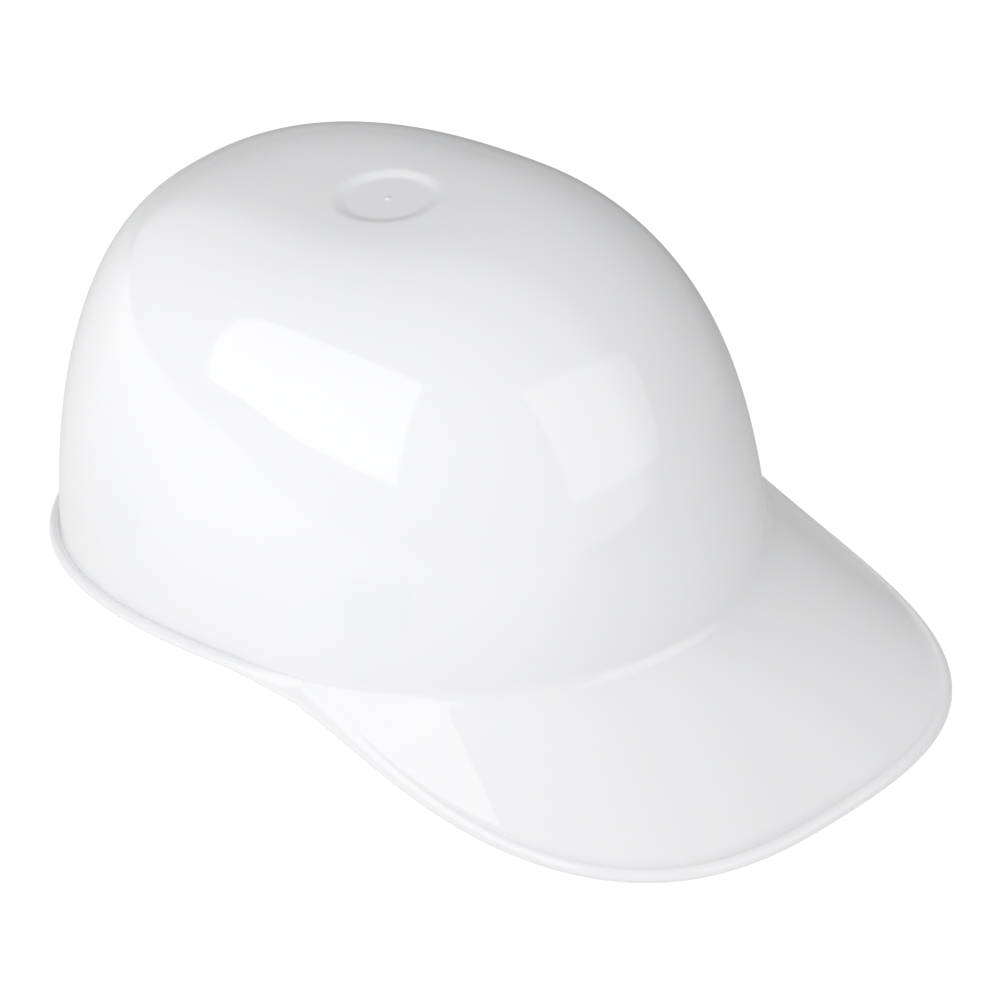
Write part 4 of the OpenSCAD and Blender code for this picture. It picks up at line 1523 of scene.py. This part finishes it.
def floor_material():
    """Pale sheet lit from behind: near white to the camera, dimmer as fill light, clear from below."""
    s = settings().stage
    reach = 0.3
    made, tree, shader, place = new_material("studio_floor", (0.12, 0.12, 0.12), 0.9)
    across = node(tree, "ShaderNodeSeparateXYZ", {0: place}).outputs[0]
    fill = ranged(tree, across, s.floor_fill + s.floor_slope, s.floor_fill - s.floor_slope, -reach, reach)
    seen = node(tree, "ShaderNodeLightPath").outputs["Is Camera Ray"]
    feed(tree, shader, {
        "Base Color": tinted(tree, noise(tree, place, 3.0), (0.115, 0.115, 0.115), (0.125, 0.125, 0.125)),
        "Specular IOR Level": 0.0,
        "Emission Color": (1, 1, 1, 1),
        "Emission Strength": ranged(tree, seen, fill, s.floor_white),
    })
    clear = node(tree, "ShaderNodeBsdfTransparent")
    below = node(tree, "ShaderNodeNewGeometry").outputs["Backfacing"]
    mix = node(tree, "ShaderNodeMixShader", {0: below, 1: shader.outputs[0], 2: clear.outputs[0]})
    out = [n for n in tree.nodes if n.type == "OUTPUT_MATERIAL"][0]
    tree.links.new(mix.outputs[0], out.inputs[0])
    return made


def studio_world(s):
    """A soft sky that falls off towards the studio's dark side, pale to the camera."""
    world = bpy.data.worlds.new("studio")
    world.use_nodes = True
    tree = world.node_tree
    way = node(tree, "ShaderNodeTexCoord").outputs["Generated"]

    def along(vector):
        made = node(tree, "ShaderNodeVectorMath", {0: way, 1: vector}, operation="DOT_PRODUCT")
        return made.outputs["Value"]

    sky = math_node(tree, "ADD", along(tuple(s.sky_slope)), s.sky)
    edges = [math.cos(math.radians(a)) for a in (s.dark_radius + s.dark_edge, s.dark_radius)]
    towards_dark = along(direction(s.dark_azimuth, s.dark_elevation))
    near = ranged(tree, towards_dark, 1.0, s.dark_level, *edges, kind="SMOOTHSTEP")
    seen = node(tree, "ShaderNodeLightPath").outputs["Is Camera Ray"]
    strength = ranged(tree, seen, math_node(tree, "MULTIPLY", sky, near), s.floor_white)
    feed(tree, tree.nodes["Background"], {"Strength": strength, "Color": (*s.light_tint, 1)})
    return world


# Each softbox is its middle, then half its width and half its height as vectors, in metres.
KEY_BOX = ((-0.865, 0.551, 0.879), (0.141, -0.932, 0.03), (0.245, 0.052, 0.458))
SIDE_BOX = ((0.632, -0.972, 0.669), (0.594, -0.042, -0.022), (0.034, 0.296, 0.364))


def softbox(name, middle, across, tall, radiance):
    """A flat rectangular light facing the cap; across and tall are its half sides."""
    middle, across, tall = Vector(middle), Vector(across), Vector(tall)
    out = across.cross(tall).normalized()
    if out.dot(middle) < 0:
        across, out = -across, -out
    data = bpy.data.lights.new(name, "AREA")
    data.shape = "RECTANGLE"
    data.size, data.size_y = 2 * across.length, 2 * tall.length
    data.energy = radiance * math.pi * data.size * data.size_y
    light = bpy.data.objects.new(name, data)
    bpy.context.scene.collection.objects.link(light)
    light.location = middle
    light.rotation_euler = Matrix((across.normalized(), tall.normalized(), out)).transposed().to_euler()


class BUMPCAP_OT_stage(bpy.types.Operator):
    """Sets the camera, the pale floor and the studio light"""

    bl_idname = "bumpcap.stage"
    bl_label = "Stage"

    def execute(self, context):
        s = settings().stage
        scene = context.scene
        right, up, back = camera_frame(s.azimuth, s.elevation)
        middle = (cad_low + cad_high) / 2
        aim = Vector((0, middle.y + FOCUS_SHIFT[0], middle.z + FOCUS_SHIFT[1]))
        target = aim + right * FRAMING_SHIFT[0] + up * FRAMING_SHIFT[1]
        data = bpy.data.cameras.new("camera")
        data.lens = s.lens
        data.sensor_width = 36
        data.clip_start, data.clip_end = 0.1, 50
        camera = bpy.data.objects.new("camera", data)
        scene.collection.objects.link(camera)
        camera.location = target + back * s.distance
        camera.rotation_euler = Matrix((right, up, back)).transposed().to_euler()
        scene.camera = camera
        bpy.ops.mesh.primitive_plane_add(size=12)
        floor = context.object
        floor.name = "studio_floor"
        paint(floor, floor_material())
        scene.world = studio_world(s)
        softbox("key_light", *KEY_BOX, s.key_light)
        softbox("side_light", *SIDE_BOX, s.side_light)
        scene.view_settings.view_transform = "Standard"
        return {"FINISHED"}


class BUMPCAP_PT_panel(bpy.types.Panel):
    """Lists the operators in the order in which they build the cap"""

    bl_idname = "BUMPCAP_PT_panel"
    bl_label = "Bump Cap"
    bl_space_type = "VIEW_3D"
    bl_region_type = "UI"
    bl_category = "Bump Cap"

    def draw(self, context):
        for operator in OPERATORS:
            self.layout.operator(operator.bl_idname)


OPERATORS = (
    BUMPCAP_OT_stage,
    BUMPCAP_OT_shell,
    BUMPCAP_OT_keys,
    BUMPCAP_OT_buttons,
    BUMPCAP_OT_bands,
    BUMPCAP_OT_straps,
    BUMPCAP_OT_pads,
)
SETTINGS = (ShellSettings, SuspensionSettings, PadSettings, StageSettings, CapSettings)
CLASSES = (*SETTINGS, *OPERATORS, BUMPCAP_PT_panel)


def register():
    for cls in CLASSES:
        bpy.utils.register_class(cls)
    bpy.types.Scene.bump_cap = PointerProperty(type=CapSettings)


def unregister():
    del bpy.types.Scene.bump_cap
    for cls in reversed(CLASSES):
        bpy.utils.unregister_class(cls)


def write_sizes():
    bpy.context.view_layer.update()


def main():
    register()
    bpy.ops.bumpcap.stage()
    bpy.ops.bumpcap.shell()
    bpy.ops.bumpcap.keys()
    bpy.ops.bumpcap.buttons()
    bpy.ops.bumpcap.bands()
    bpy.ops.bumpcap.straps()
    bpy.ops.bumpcap.pads()
    write_sizes()


if __name__ == "__main__":
    main()
